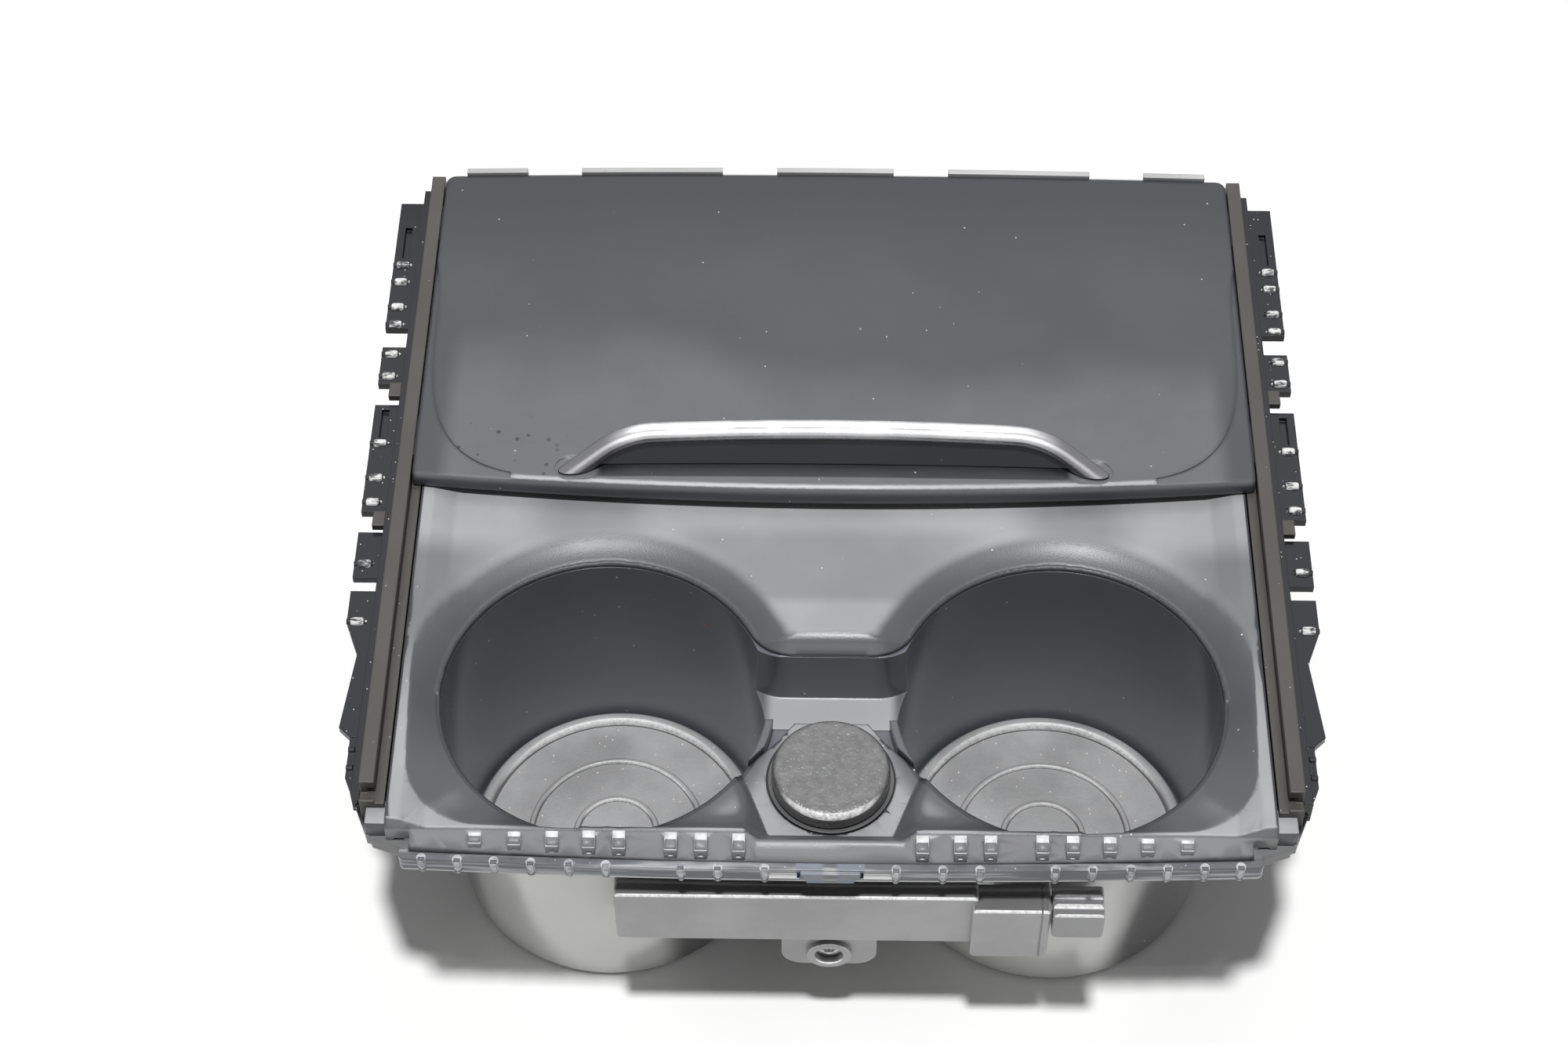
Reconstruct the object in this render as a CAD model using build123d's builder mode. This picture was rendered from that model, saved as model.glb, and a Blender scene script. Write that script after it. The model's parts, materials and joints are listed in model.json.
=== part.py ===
from build123d import *
from math import cos, radians, sin, tan
import os

# Car cup holder with a sliding lid: two cups, a capped 12 V socket and an aerial bar.
# Millimetres. X runs to the right, Y to the rear and Z up. The cups stand on Z = 0,
# the origin lies midway between the two cup axes, and the lid is slid open.

os.makedirs("parts", exist_ok=True)

# Clearances
slide_gap = 0.3  # between the lid's moving pieces and what they run in
seat_gap = 0.3  # between loosely fitted fixed pieces
skin_gap = 0.1  # between pieces fixed tight against each other

# Cups
cup_pitch = 105.0
cup_mouth_radius = 37.8
cup_taper = 1.9
cup_wall = 1.8
cup_floor = 2.4
cup_foot_fillet = 2.0

# Heights above the plane the cups stand on, from the middle of the deck
deck_height = 66.8
insert_drop = 4.2
rail_rise = 5.6
ledge_drop = 4.6
ear_drop = 7.2

# Trough between the cups
trough_rear = 12.0
trough_depth = 16.6
trough_fillet = 12.0
trough_wall = 2.2
trough_block_setback = 28.5
trough_cut_setback = 32.5

# Tray
side_margin = 14.9
deck_dish = 1.4
deck_thickness = 1.8
tray_rear = 72.0
tray_skirt = 1.6
rim_strip = 2.5
rim_run = 6.8
rim_round = 8.0
mouth_drop = 3.4
mouth_angle = 45.0
mouth_round = 6.0
mouth_facets = 4
mouth_edge = 0.5
mouth_ring = 6.0
corner_side_strip = 3.8
corner_bend = 13.0
corner_arc = 25.0
nose_setback = 5.6
nose_margin = 0.7
nose_run = 5.1
nose_back_run = 2.0
nose_edge_drop = 4.9
nose_depth = 6.4
nose_bow = 2.0
nose_rib_setbacks = (14.6, 23.4, 31.8, 40.0, 46.7, 58.2, 64.9, 73.3)
nose_rib_width = 2.7
nose_rib_inset = 0.8
nose_rib_drop = 0.7
corner_step = 0.5
notch_round = 3.0

# Plateau that carries the 12 V socket
socket_y = -21.0
plateau_drop = 5.8
plateau_thickness = 2.2
plateau_rear_run = 15.4
plateau_rear_setback = 44.0
plateau_shoulder_run = 10.7
plateau_shoulder_setback = 40.5
plateau_side_run = 1.8
plateau_side_setback = 32.0
plateau_front_run = 15.2
plateau_front_setback = 38.4
wing_draft = 42.0
web_setback = 18.5
web_run = 1.5

# Mats
mat_gap = 0.6
mat_thickness = 1.8
mat_bead_width = 3.6
mat_bead_height = 1.7
mat_ring_radii = (9.8, 21.0)
mat_ring_width = 1.6
mat_ring_height = 0.8

# Carrier frame
frame_rear = 158.0
ledge_thickness = 2.2
ledge_reach = 3.8
frame_wall = 2.2
frame_wall_rise = 4.8
frame_wall_front_run = 8.5
rear_bar_width = 6.0
tab_rise = 0.3
tab_thickness = 2.0
tab_reach = 6.7
tab_setbacks = ((0.3, 44.4), (50.8, 63.1), (70.0, 104.0), (110.3, 124.0))
tab_slot_setbacks = ((9.0, 20.0), (71.5, 80.5))
tab_slot_offset = 2.9
tab_slot_width = 1.8
tab_slot_depth = 1.2
tab_rib_setbacks = (22.5, 28.4, 37.1, 43.1, 53.2, 60.5, 82.5, 93.4, 101.0, 119.9)
tab_rib_radius = 0.75
tab_rib_length = 4.4
wing_rear_run = 68.5
wing_rib_run = 59.5
wing_wide_run = 59.2
wing_neck_run = 50.0
wing_neck_reach = 3.3
wing_tip_run = 29.5
wing_tip_reach = 5.3
wing_front_run = 26.8
strip_reach = 2.5
strip_front_run = 15.9
strip_rib_runs = (23.5, 18.5)
corner_setback = 4.0
corner_inner_setback = 3.4
corner_inner_run = 2.4
skirt_depth = 5.2
skirt_thickness = 1.2
bar_width = 1.8
bar_end_round = 1.2
bar_depth = 4.6
bar_neck = 2.2
bar_rib_setbacks = (3.0, 11.0, 19.2, 27.4, 35.9, 44.1, 60.8, 69.0, 79.4)
bar_rib_width = 1.4
bar_rib_height = 0.5
latch_window_inner = 6.7
latch_window_width = 7.3
latch_window_depth = 1.2
latch_window_height = 2.8
latch_window_rise = 1.0
latch_block_angle = 67.0
latch_block_height = 3.6
latch_block_depth = 0.8

# Guide rails
rail_upper_width = 3.4
rail_upper_thickness = 2.2
rail_slot_height = 1.8
rail_web = 1.6
rail_lower_width = 5.6
rail_lower_thickness = 1.6
rail_foot = 2.0
rail_upper_front_run = 8.1
rail_lower_front_run = 5.1
rail_stop_height = 0.8
rail_clip_setbacks = (66.6, 107.6)
rail_clip_width = 4.4
rail_clip_reach = 3.3
rail_clip_thickness = 1.8
rail_clip_rise = 0.6

# Sliding lid
lid_overhang = 0.5
lid_front_side = 57.6
lid_bow = 5.1
lid_crown = 1.4
lid_skin = 1.8
lid_corner = 2.5
lip_thickness = 4.0
lip_round = 2.6
lip_edge_round = 0.6
lip_lift = 2.6
crease_depth = 0.5
crease_rear_run = 70.4
crease_mid_run = 34.4
crease_mid_inset = 2.2
crease_turn_run = 11.4
crease_turn_inset = 8.2
crease_front_inset = 24.0
crease_front_gap = 2.9
under_setback = 9.5
under_front_run = 6.4
under_thickness = 1.0
hook_gap = 0.2
hook_thickness = 1.6
hook_rise = 0.6
hook_side_setbacks = (5.3, 21.2)
hook_middle_span = (29.4, 66.2)
hook_centre_width = 30.4
shoe_length = 12.0
shoe_front_run = 8.4
shoe_rear_setback = 20.5
shoe_notch = 6.0

# Handle
arch_width = 5.0
arch_thickness = 3.4
arch_foot_x = 61.6
arch_foot_run = 2.0
arch_lean = 39.0
arch_shoulder_inset = 11.4
arch_shoulder_rise = 8.4
arch_middle_rise = 9.8
arch_bend = 24.0
arch_steps = 8
arch_below = 4.0
foot_well_length = 11.0
foot_well_width = 7.0
foot_well_depth = 0.4
peg_radius = 1.2
peg_length = 1.6
peg_root = 0.5
grip_recess = 0.7
grip_thickness = 3.4

# 12 V socket
collar_flange_radius = 14.3
collar_flange = 1.0
collar_sink = 0.8
collar_radius = 12.0
collar_wall = 1.0
collar_length = 41.2
barrel_wall = 0.5
base_height = 4.0
contact_radius = 3.0
contact_height = 3.0
contact_stem_radius = 1.6
terminal_width = 6.3
terminal_thickness = 0.8
terminal_length = 9.0
terminal_pitch = 9.0
tower_wall = 3.2
tower_below = 4.0
cap_radius = 13.5
cap_thickness = 4.7
cap_rim_fillet = 1.9
cap_foot_fillet = 0.6
cap_stem_length = 11.0

# Aerial bar on the front
aerial_left = -48.7
aerial_right = 33.5
aerial_gap = 1.2
aerial_depth = 5.2
aerial_drop = 6.6
aerial_height = 19.0
aerial_wall = 1.3
aerial_lid = 1.0
aerial_round = 1.2
aerial_edge = 0.7
shell_width = 16.3
shell_depth = 7.2
shell_drop = 2.0
shell_height = 20.0
shell_wall = 1.4
shell_groove_inset = 2.0
shell_groove_width = 0.4
shell_groove_depth = 0.3
core_inset = 3.7
core_length = 66.0
core_height = 8.0
core_depth = 1.4
core_rib_width = 3.0
core_rib_height = 12.0
core_rib_inset = 6.0
coil_length = 44.0
coil_build = 0.5
pin_radius = 0.5
pin_length = 11.0
pin_rows = 3
pin_pitch = 3.0
pin_rise = 5.0
lock_gap = 0.4
lock_width = 11.6
lock_depth = 7.9
lock_height = 9.8
lock_groove_runs = (2.0, 4.5)
lock_groove_radius = 1.5
lock_groove_depth = 0.6
lock_tongue = 6.0
lock_tongue_height = 5.4
lug_width = 22.0
lug_thickness = 2.4
lug_depth = 3.2
lug_boss_radius = 5.6
lug_fillet = 5.0
screw_drop = 8.0
screw_radius = 1.5
screw_head_radius = 3.0
screw_head_height = 1.8
screw_length = 7.4

# Ears that hold the insert under the tray
ear_thickness = 2.4
ear_radius = 4.0
ear_offset = 3.9
ear_angles = (35.0, 100.0, -30.0)
boss_radius = 3.4
boss_pilot = 1.3
ear_screw_radius = 1.2
ear_screw_length = 6.4
ear_head_radius = 2.6
ear_head_height = 1.6

# Cups and heights worked out from the sizes above
cup_x = cup_pitch / 2
cup_floor_radius = cup_mouth_radius - cup_taper
mat_radius = cup_floor_radius - mat_gap
insert_outer_radius = cup_mouth_radius + cup_wall
insert_top = deck_height - insert_drop
rim_height = deck_height + deck_dish
mouth_level = deck_height - mouth_drop
corner_top = rim_height + seat_gap
cavity_slope = (cup_mouth_radius - cup_floor_radius) / (mouth_level - cup_floor)
cavity_top_radius = cup_floor_radius + cavity_slope * (insert_top - cup_floor)
foot_radius = cup_floor_radius + cup_wall - cavity_slope * cup_floor
trough_floor = insert_top - trough_depth
ring_rise = mouth_drop - mouth_round * (1 - cos(radians(mouth_angle)))
ring_run = ring_rise / tan(radians(mouth_angle))
ring_angles = [radians(mouth_angle * (1 - step / (mouth_facets + 1))) for step in range(mouth_facets + 1)]
ring_steps = [(0, 0)] + [
    (
        ring_run + mouth_round * (sin(radians(mouth_angle)) - sin(angle)),
        ring_rise + mouth_round * (cos(angle) - cos(radians(mouth_angle))),
    )
    for angle in ring_angles
]
ring_end, ring_top = ring_steps[-1]
ring_steps.append((ring_end + mouth_drop - ring_top + deck_dish, mouth_drop + deck_dish + seat_gap))
nose_edge_height = deck_height - nose_edge_drop
nose_bottom = deck_height - nose_depth
plateau_height = deck_height - plateau_drop
plateau_bottom = plateau_height - plateau_thickness
ledge_top = deck_height - ledge_drop
ledge_bottom = ledge_top - ledge_thickness
tab_top = ledge_top + tab_rise
frame_wall_top = ledge_top + frame_wall_rise
skirt_bottom = ledge_top - skirt_depth
bar_bottom = ledge_top - bar_depth
latch_window_bottom = bar_bottom + latch_window_rise
ear_top = deck_height - ear_drop
rail_top = deck_height + rail_rise
slot_top = rail_top - rail_upper_thickness
slot_bottom = slot_top - rail_slot_height
rail_clip_bottom = ledge_top + rail_clip_rise

# Widths worked out from the middle
rail_outer = cup_x + cup_mouth_radius + side_margin
rail_inner = rail_outer - rail_upper_width
tray_half = rail_outer - rail_lower_width - seat_gap
tray_width = 2 * tray_half
nose_half = tray_half - nose_setback
corner_side = tray_half - corner_side_strip
ledge_inner = tray_half - ledge_reach
frame_wall_inner = rail_outer + seat_gap
frame_wall_outer = frame_wall_inner + frame_wall
tab_outer = frame_wall_outer + tab_reach
tab_slot_inner = frame_wall_outer + tab_slot_offset
wing_neck = frame_wall_outer + wing_neck_reach
wing_tip = frame_wall_outer + wing_tip_reach
strip_outer = frame_wall_outer + strip_reach
corner_outer = frame_wall_outer - corner_setback
corner_inner = tray_half - corner_inner_setback
bar_half_width = nose_half + seat_gap
bar_end = bar_half_width + bar_neck
latch_window_outer = latch_window_inner + latch_window_width
rail_clip_outer = frame_wall_outer + rail_clip_reach
lid_half = rail_inner - slide_gap
under_half_width = lid_half - under_setback
trough_half_width = cup_x - trough_block_setback
trough_reach = cup_x - trough_cut_setback
plateau_rear_half_width = cup_x - plateau_rear_setback
plateau_shoulder_half_width = cup_x - plateau_shoulder_setback
plateau_side_half_width = cup_x - plateau_side_setback
plateau_front_half_width = cup_x - plateau_front_setback
web_half_width = cup_x - web_setback

# Places from front to rear
nose_rim = -cup_mouth_radius - nose_margin
nose_front = nose_rim - nose_run
nose_back = nose_rim + nose_back_run
nose_side_front = nose_front + nose_bow
nose_rib_front = nose_front + nose_rib_inset
corner_front = nose_rim - corner_step
web_front = nose_rim - web_run
bar_back = nose_front - seat_gap
bar_front = bar_back - bar_width
bar_side_back = bar_back + nose_bow
bar_side_front = bar_front + nose_bow
corner_y = nose_rim
corner_inner_y = nose_rim - corner_inner_run
strip_front = nose_rim + strip_front_run
wing_front = nose_rim + wing_front_run
wing_tip_y = nose_rim + wing_tip_run
wing_neck_y = nose_rim + wing_neck_run
wing_wide_y = nose_rim + wing_wide_run
wing_rear = nose_rim + wing_rear_run
frame_wall_front = nose_rim + frame_wall_front_run
rail_upper_front = nose_rim + rail_upper_front_run
rail_lower_front = nose_rim + rail_lower_front_run
trough_front = socket_y + plateau_rear_run
plateau_shoulder_y = socket_y + plateau_shoulder_run
plateau_side_y = socket_y + plateau_side_run
plateau_front_y = socket_y - plateau_front_run
tab_spans = [(frame_rear - far, frame_rear - near) for near, far in tab_setbacks]
tab_slots = [(frame_rear - far, frame_rear - near) for near, far in tab_slot_setbacks]
tab_rib_places = [frame_rear - setback for setback in tab_rib_setbacks] + [nose_rim + wing_rib_run]
strip_rib_places = [nose_rim + run for run in strip_rib_runs]
rail_clip_places = [frame_rear - setback for setback in rail_clip_setbacks]
nose_rib_places = [nose_half - setback for setback in nose_rib_setbacks]
bar_rib_places = [bar_half_width - setback for setback in bar_rib_setbacks]
ear_circle = insert_outer_radius + ear_offset
ear_places = [
    (side * (cup_x + ear_circle * cos(radians(angle))), ear_circle * sin(radians(angle)))
    for side in (-1, 1)
    for angle in ear_angles
]

# Lid and handle
lid_rear = frame_rear + lid_overhang
lid_front_middle = lid_front_side - lid_bow
lid_skin_bottom = rail_top - lid_skin
lid_crown_height = rail_top + lid_crown
lip_bottom_middle = deck_height + lip_lift
lip_bottom_side = rim_height + 2 * slide_gap
crease_rear = lid_front_side + crease_rear_run
crease_mid_y = lid_front_side + crease_mid_run
crease_turn_y = lid_front_side + crease_turn_run
crease_front_y = lid_front_side - lid_bow * (1 - (1 - crease_front_inset / lid_half) ** 2) + crease_front_gap
under_front = lid_front_side + under_front_run
under_bottom = lid_skin_bottom - skin_gap - under_thickness
hook_rear = lid_rear + hook_gap + hook_thickness
hook_spans = [
    (lid_half - hook_side_setbacks[1], lid_half - hook_side_setbacks[0]),
    hook_middle_span,
    (-hook_centre_width / 2, hook_centre_width / 2),
    (-hook_middle_span[1], -hook_middle_span[0]),
    (hook_side_setbacks[0] - lid_half, hook_side_setbacks[1] - lid_half),
]
shoe_top = slot_top - slide_gap
shoe_bottom = slot_bottom + slide_gap
shoe_front_y = lid_front_side + shoe_front_run
shoe_rear_y = lid_rear - shoe_rear_setback
arch_foot_y = lid_front_side + arch_foot_run
arch_foot_z = rail_top + lid_crown * (1 - (arch_foot_x / lid_half) ** 2) + skin_gap

# Socket and aerial
collar_top = plateau_height - collar_sink + collar_flange
collar_bottom = collar_top - collar_length
barrel_radius = collar_radius - collar_wall - skin_gap
barrel_bottom = collar_bottom + base_height
socket_bore = barrel_radius - barrel_wall
tower_bottom = collar_bottom - tower_below
cap_bottom = collar_top + seat_gap
aerial_back = -insert_outer_radius - aerial_gap
aerial_front = aerial_back - aerial_depth
aerial_top = bar_bottom - aerial_drop
aerial_bottom = aerial_top - aerial_height
shell_right = aerial_right + shell_width
shell_front = aerial_back - shell_depth
shell_top = aerial_top - shell_drop
shell_bottom = shell_top - shell_height
shell_y = (shell_front + aerial_back) / 2
core_left = aerial_left + core_inset
cavity_front = aerial_front + aerial_wall
cavity_back = aerial_back - aerial_lid
core_y = (cavity_front + cavity_back) / 2
core_z = (aerial_top + aerial_bottom) / 2
pin_lowest = shell_bottom + pin_rise
lock_left = shell_right + lock_gap
lock_right = lock_left + lock_width
lock_back = aerial_back - lock_gap
lock_front = lock_back - lock_depth
lock_top = shell_top + lock_gap
lock_bottom = lock_top - lock_height
lug_back = aerial_back + lug_thickness
lug_front = aerial_back - lug_depth
screw_height = aerial_bottom - screw_drop
screw_seat = lug_front + screw_head_height + seat_gap
screw_tip = screw_seat + screw_length


def save(builder, name):
    builder.part.label = name
    export_step(builder.part, f"parts/{name}.step")


# Outline of the joined mouths, grown outwards, at a height
def mouth_outline(grow, height):
    with BuildSketch(Plane.XY.offset(height)) as outline:
        with Locations((-cup_x, 0), (cup_x, 0)):
            Circle(cup_mouth_radius + grow)
        with Locations((0, (trough_rear + trough_front) / 2)):
            Rectangle(2 * trough_reach, trough_rear - trough_front + 2 * grow)
        fillet(outline.vertices().group_by(Axis.Y)[-1], radius=trough_fillet - grow)
    return outline.sketch.face()


# Cutter for the sloping ring that rounds over into the deck behind the cups' middles
with BuildPart() as ring_cutter:
    loft([mouth_outline(grow, mouth_level + rise) for grow, rise in ring_steps], ruled=True)
    with Locations((0, 0, mouth_level)):
        Box(
            2 * tray_width,
            tray_width,
            deck_height,
            align=(Align.CENTER, Align.MAX, Align.CENTER),
            mode=Mode.SUBTRACT,
        )


# Bottom and top of the slope that fills one front corner
def corner_sections(side):
    across = 180 if side < 0 else 0
    angles = [radians(across - side * step) for step in (0, corner_arc, 90 - corner_arc, 90)]
    radius = cup_mouth_radius - seat_gap
    places = [(side * cup_x + radius * cos(turn), radius * sin(turn)) for turn in angles]
    with BuildSketch(Plane.XY.offset(mouth_level)) as low:
        with BuildLine():
            for first, last in zip(places, places[1:]):
                RadiusArc(first, last, side * radius)
            Polyline(places[-1], (side * cup_x, 0), places[0])
        make_face()
    with BuildSketch(Plane.XY.offset(corner_top)) as high:
        with BuildLine():
            Line((side * corner_side, 0), (side * corner_side, nose_rim + corner_bend))
            RadiusArc(
                (side * corner_side, nose_rim + corner_bend),
                (side * (corner_side - corner_bend), nose_rim),
                side * corner_bend,
            )
            Polyline(
                (side * (corner_side - corner_bend), nose_rim),
                (side * cup_x, nose_rim),
                (side * cup_x, 0),
                (side * corner_side, 0),
            )
        make_face()
    return [low.sketch.face(), high.sketch.face()]


# Tray: dished deck on two side skirts, with a sloping ribbed nose
with BuildPart() as tray:
    with BuildSketch(Plane.XZ.offset(-tray_rear)):
        with BuildLine():
            dish = [
                (-tray_half, rim_height),
                (-tray_half + rim_strip, rim_height),
                (-tray_half + rim_strip + rim_run, deck_height),
                (tray_half - rim_strip - rim_run, deck_height),
                (tray_half - rim_strip, rim_height),
                (tray_half, rim_height),
            ]
            deck_top = FilletPolyline(*dish, radius=rim_round)
            deck_under = FilletPolyline(*[(x, z - deck_thickness) for x, z in dish], radius=rim_round)
            Line(deck_top @ 0, deck_under @ 0)
            Line(deck_top @ 1, deck_under @ 1)
        make_face()
    extrude(amount=tray_rear - nose_front)

    with BuildSketch(Plane.XY.offset(ledge_top)):
        with Locations((-tray_half + tray_skirt / 2, 0), (tray_half - tray_skirt / 2, 0)):
            with Locations((0, (tray_rear + corner_front) / 2)):
                Rectangle(tray_skirt, tray_rear - corner_front)
        with Locations((0, tray_rear - tray_skirt / 2)):
            Rectangle(tray_width, tray_skirt)
    extrude(amount=deck_height - deck_thickness / 2 - ledge_top)

    with BuildSketch(Plane.XY.offset(nose_bottom)):
        with Locations((0, (nose_front + nose_back) / 2)):
            Rectangle(2 * nose_half, nose_back - nose_front)
    extrude(amount=deck_height - deck_thickness / 2 - nose_bottom)

    # Room under the lip for the tops of the cups
    with Locations((-cup_x, 0, nose_bottom), (cup_x, 0, nose_bottom)):
        Cylinder(
            insert_outer_radius + seat_gap,
            insert_top + seat_gap - nose_bottom,
            align=(Align.CENTER, Align.CENTER, Align.MIN),
            mode=Mode.SUBTRACT,
        )

    # Web between the mouths that becomes the socket plateau
    with BuildSketch(Plane.XY.offset(plateau_bottom)):
        with BuildLine():
            Polyline(
                (0, web_front),
                (web_half_width, web_front),
                (plateau_side_half_width, plateau_side_y),
                (plateau_shoulder_half_width, plateau_shoulder_y),
                (plateau_rear_half_width, trough_front),
                (0, trough_front),
            )
            mirror(about=Plane.YZ)
        make_face()
    extrude(amount=deck_height - plateau_bottom)

    # Thickened ring under the deck around each mouth, filled out at the front corners
    with BuildSketch(Plane.XY.offset(mouth_level - mouth_edge)):
        with Locations((-cup_x, 0), (cup_x, 0)):
            Circle(cup_mouth_radius + mouth_ring)
        with Locations((0, corner_front)):
            Rectangle(tray_width, -corner_front, align=(Align.CENTER, Align.MIN))
        with Locations((0, trough_rear)):
            Rectangle(2 * trough_half_width, 2 * mouth_ring)
        with Locations((0, corner_front / 2)):
            Rectangle(2 * cup_x, -corner_front, mode=Mode.SUBTRACT)
        with Locations((-cup_x, 0), (cup_x, 0)):
            Circle(cup_mouth_radius + mouth_ring)
        with Locations((0, nose_front)):
            Rectangle(tray_width, tray_width, align=(Align.CENTER, Align.MAX), mode=Mode.SUBTRACT)
        with Locations((0, (plateau_side_y + trough_front) / 2)):
            Rectangle(2 * trough_half_width, trough_front - plateau_side_y, mode=Mode.SUBTRACT)
    extrude(amount=deck_height - skin_gap - mouth_level + mouth_edge)

    # Bosses for the ear screws
    with BuildSketch(Plane.XY.offset(ear_top)):
        with Locations(*ear_places):
            Circle(boss_radius)
    extrude(amount=deck_height - skin_gap - ear_top)
    with BuildSketch(Plane.XY.offset(ear_top)):
        with Locations(*ear_places):
            Circle(boss_pilot)
    extrude(amount=ear_screw_length - ear_thickness + seat_gap, mode=Mode.SUBTRACT)

    # Joined mouths of both cups
    extrude(mouth_outline(0, mouth_level), amount=deck_height, both=True, mode=Mode.SUBTRACT)
    add(ring_cutter.part, mode=Mode.SUBTRACT)

    # Wide slope between each mouth and the squared front corner beside it
    for side in (-1, 1):
        loft(corner_sections(side), ruled=True, mode=Mode.SUBTRACT)

    # Valley over the plateau, with the drafted wings on each side
    with BuildSketch(Plane.XY.offset(plateau_height)):
        with BuildLine():
            Polyline(
                (0, plateau_front_y),
                (plateau_front_half_width, plateau_front_y),
                (plateau_side_half_width, plateau_side_y),
                (plateau_shoulder_half_width, plateau_shoulder_y),
                (plateau_rear_half_width, trough_front),
                (0, trough_front),
            )
            mirror(about=Plane.YZ)
        make_face()
    extrude(amount=deck_height - plateau_height + seat_gap, taper=-wing_draft, mode=Mode.SUBTRACT)
    with BuildSketch(Plane.XY.offset(plateau_height)):
        with Locations((0, (plateau_shoulder_y + trough_front) / 2)):
            Rectangle(2 * trough_reach, trough_front - plateau_shoulder_y)
    extrude(amount=deck_height - plateau_height, mode=Mode.SUBTRACT)

    # Sloping front of the nose, cut across the full width
    rise = (deck_height - nose_edge_height) / (nose_rim - nose_front)
    with BuildSketch(Plane.YZ.offset(-tray_half)):
        with BuildLine():
            Polyline(
                (nose_front, nose_edge_height),
                (nose_rim + 2 * deck_dish, deck_height + 2 * deck_dish * rise),
                (nose_front, deck_height + 2 * deck_dish * rise),
                close=True,
            )
        make_face()
    extrude(amount=tray_width, mode=Mode.SUBTRACT)

    # Notched corners beside the nose, and its bowed front edge
    with BuildSketch(Plane.XY.offset(nose_bottom)) as notches:
        with Locations((-tray_half, corner_front), (tray_half, corner_front)):
            Rectangle(
                2 * (tray_half - nose_half),
                4 * (corner_front - nose_front),
                align=(Align.CENTER, Align.MAX),
            )
        inner_corners = notches.vertices().group_by(Axis.Y)[-1].sort_by(Axis.X)[1:3]
        fillet(inner_corners, radius=notch_round)
    extrude(amount=deck_height, mode=Mode.SUBTRACT)
    with BuildSketch(Plane.XY.offset(nose_bottom)):
        with BuildLine():
            front_bow = ThreePointArc(
                (-nose_half, nose_side_front),
                (0, nose_front),
                (nose_half, nose_side_front),
            )
            Polyline(
                front_bow @ 1,
                (nose_half, nose_front - nose_run),
                (-nose_half, nose_front - nose_run),
                front_bow @ 0,
            )
        make_face()
    extrude(amount=deck_height, mode=Mode.SUBTRACT)

    # Stepped ribs on the nose
    rib_back = -insert_outer_radius - seat_gap
    with BuildSketch(Plane.XY.offset(nose_bottom + seat_gap)):
        for place in nose_rib_places:
            rib_front = nose_rib_front + nose_bow * (place / nose_half) ** 2
            with Locations((-place, rib_front), (place, rib_front)):
                Rectangle(nose_rib_width, rib_back - rib_front, align=(Align.CENTER, Align.MIN))
    extrude(amount=deck_height - nose_rib_drop - nose_bottom - seat_gap)

    # Seat and bore of the socket
    with BuildSketch(Plane.XY.offset(plateau_height)):
        with Locations((0, socket_y)):
            Circle(collar_flange_radius + seat_gap)
    extrude(amount=-collar_sink, mode=Mode.SUBTRACT)
    with BuildSketch(Plane.XY.offset(plateau_height)):
        with Locations((0, socket_y)):
            Circle(collar_radius + seat_gap)
    extrude(amount=-2 * plateau_thickness, mode=Mode.SUBTRACT)
save(tray, "cup_tray")


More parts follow.
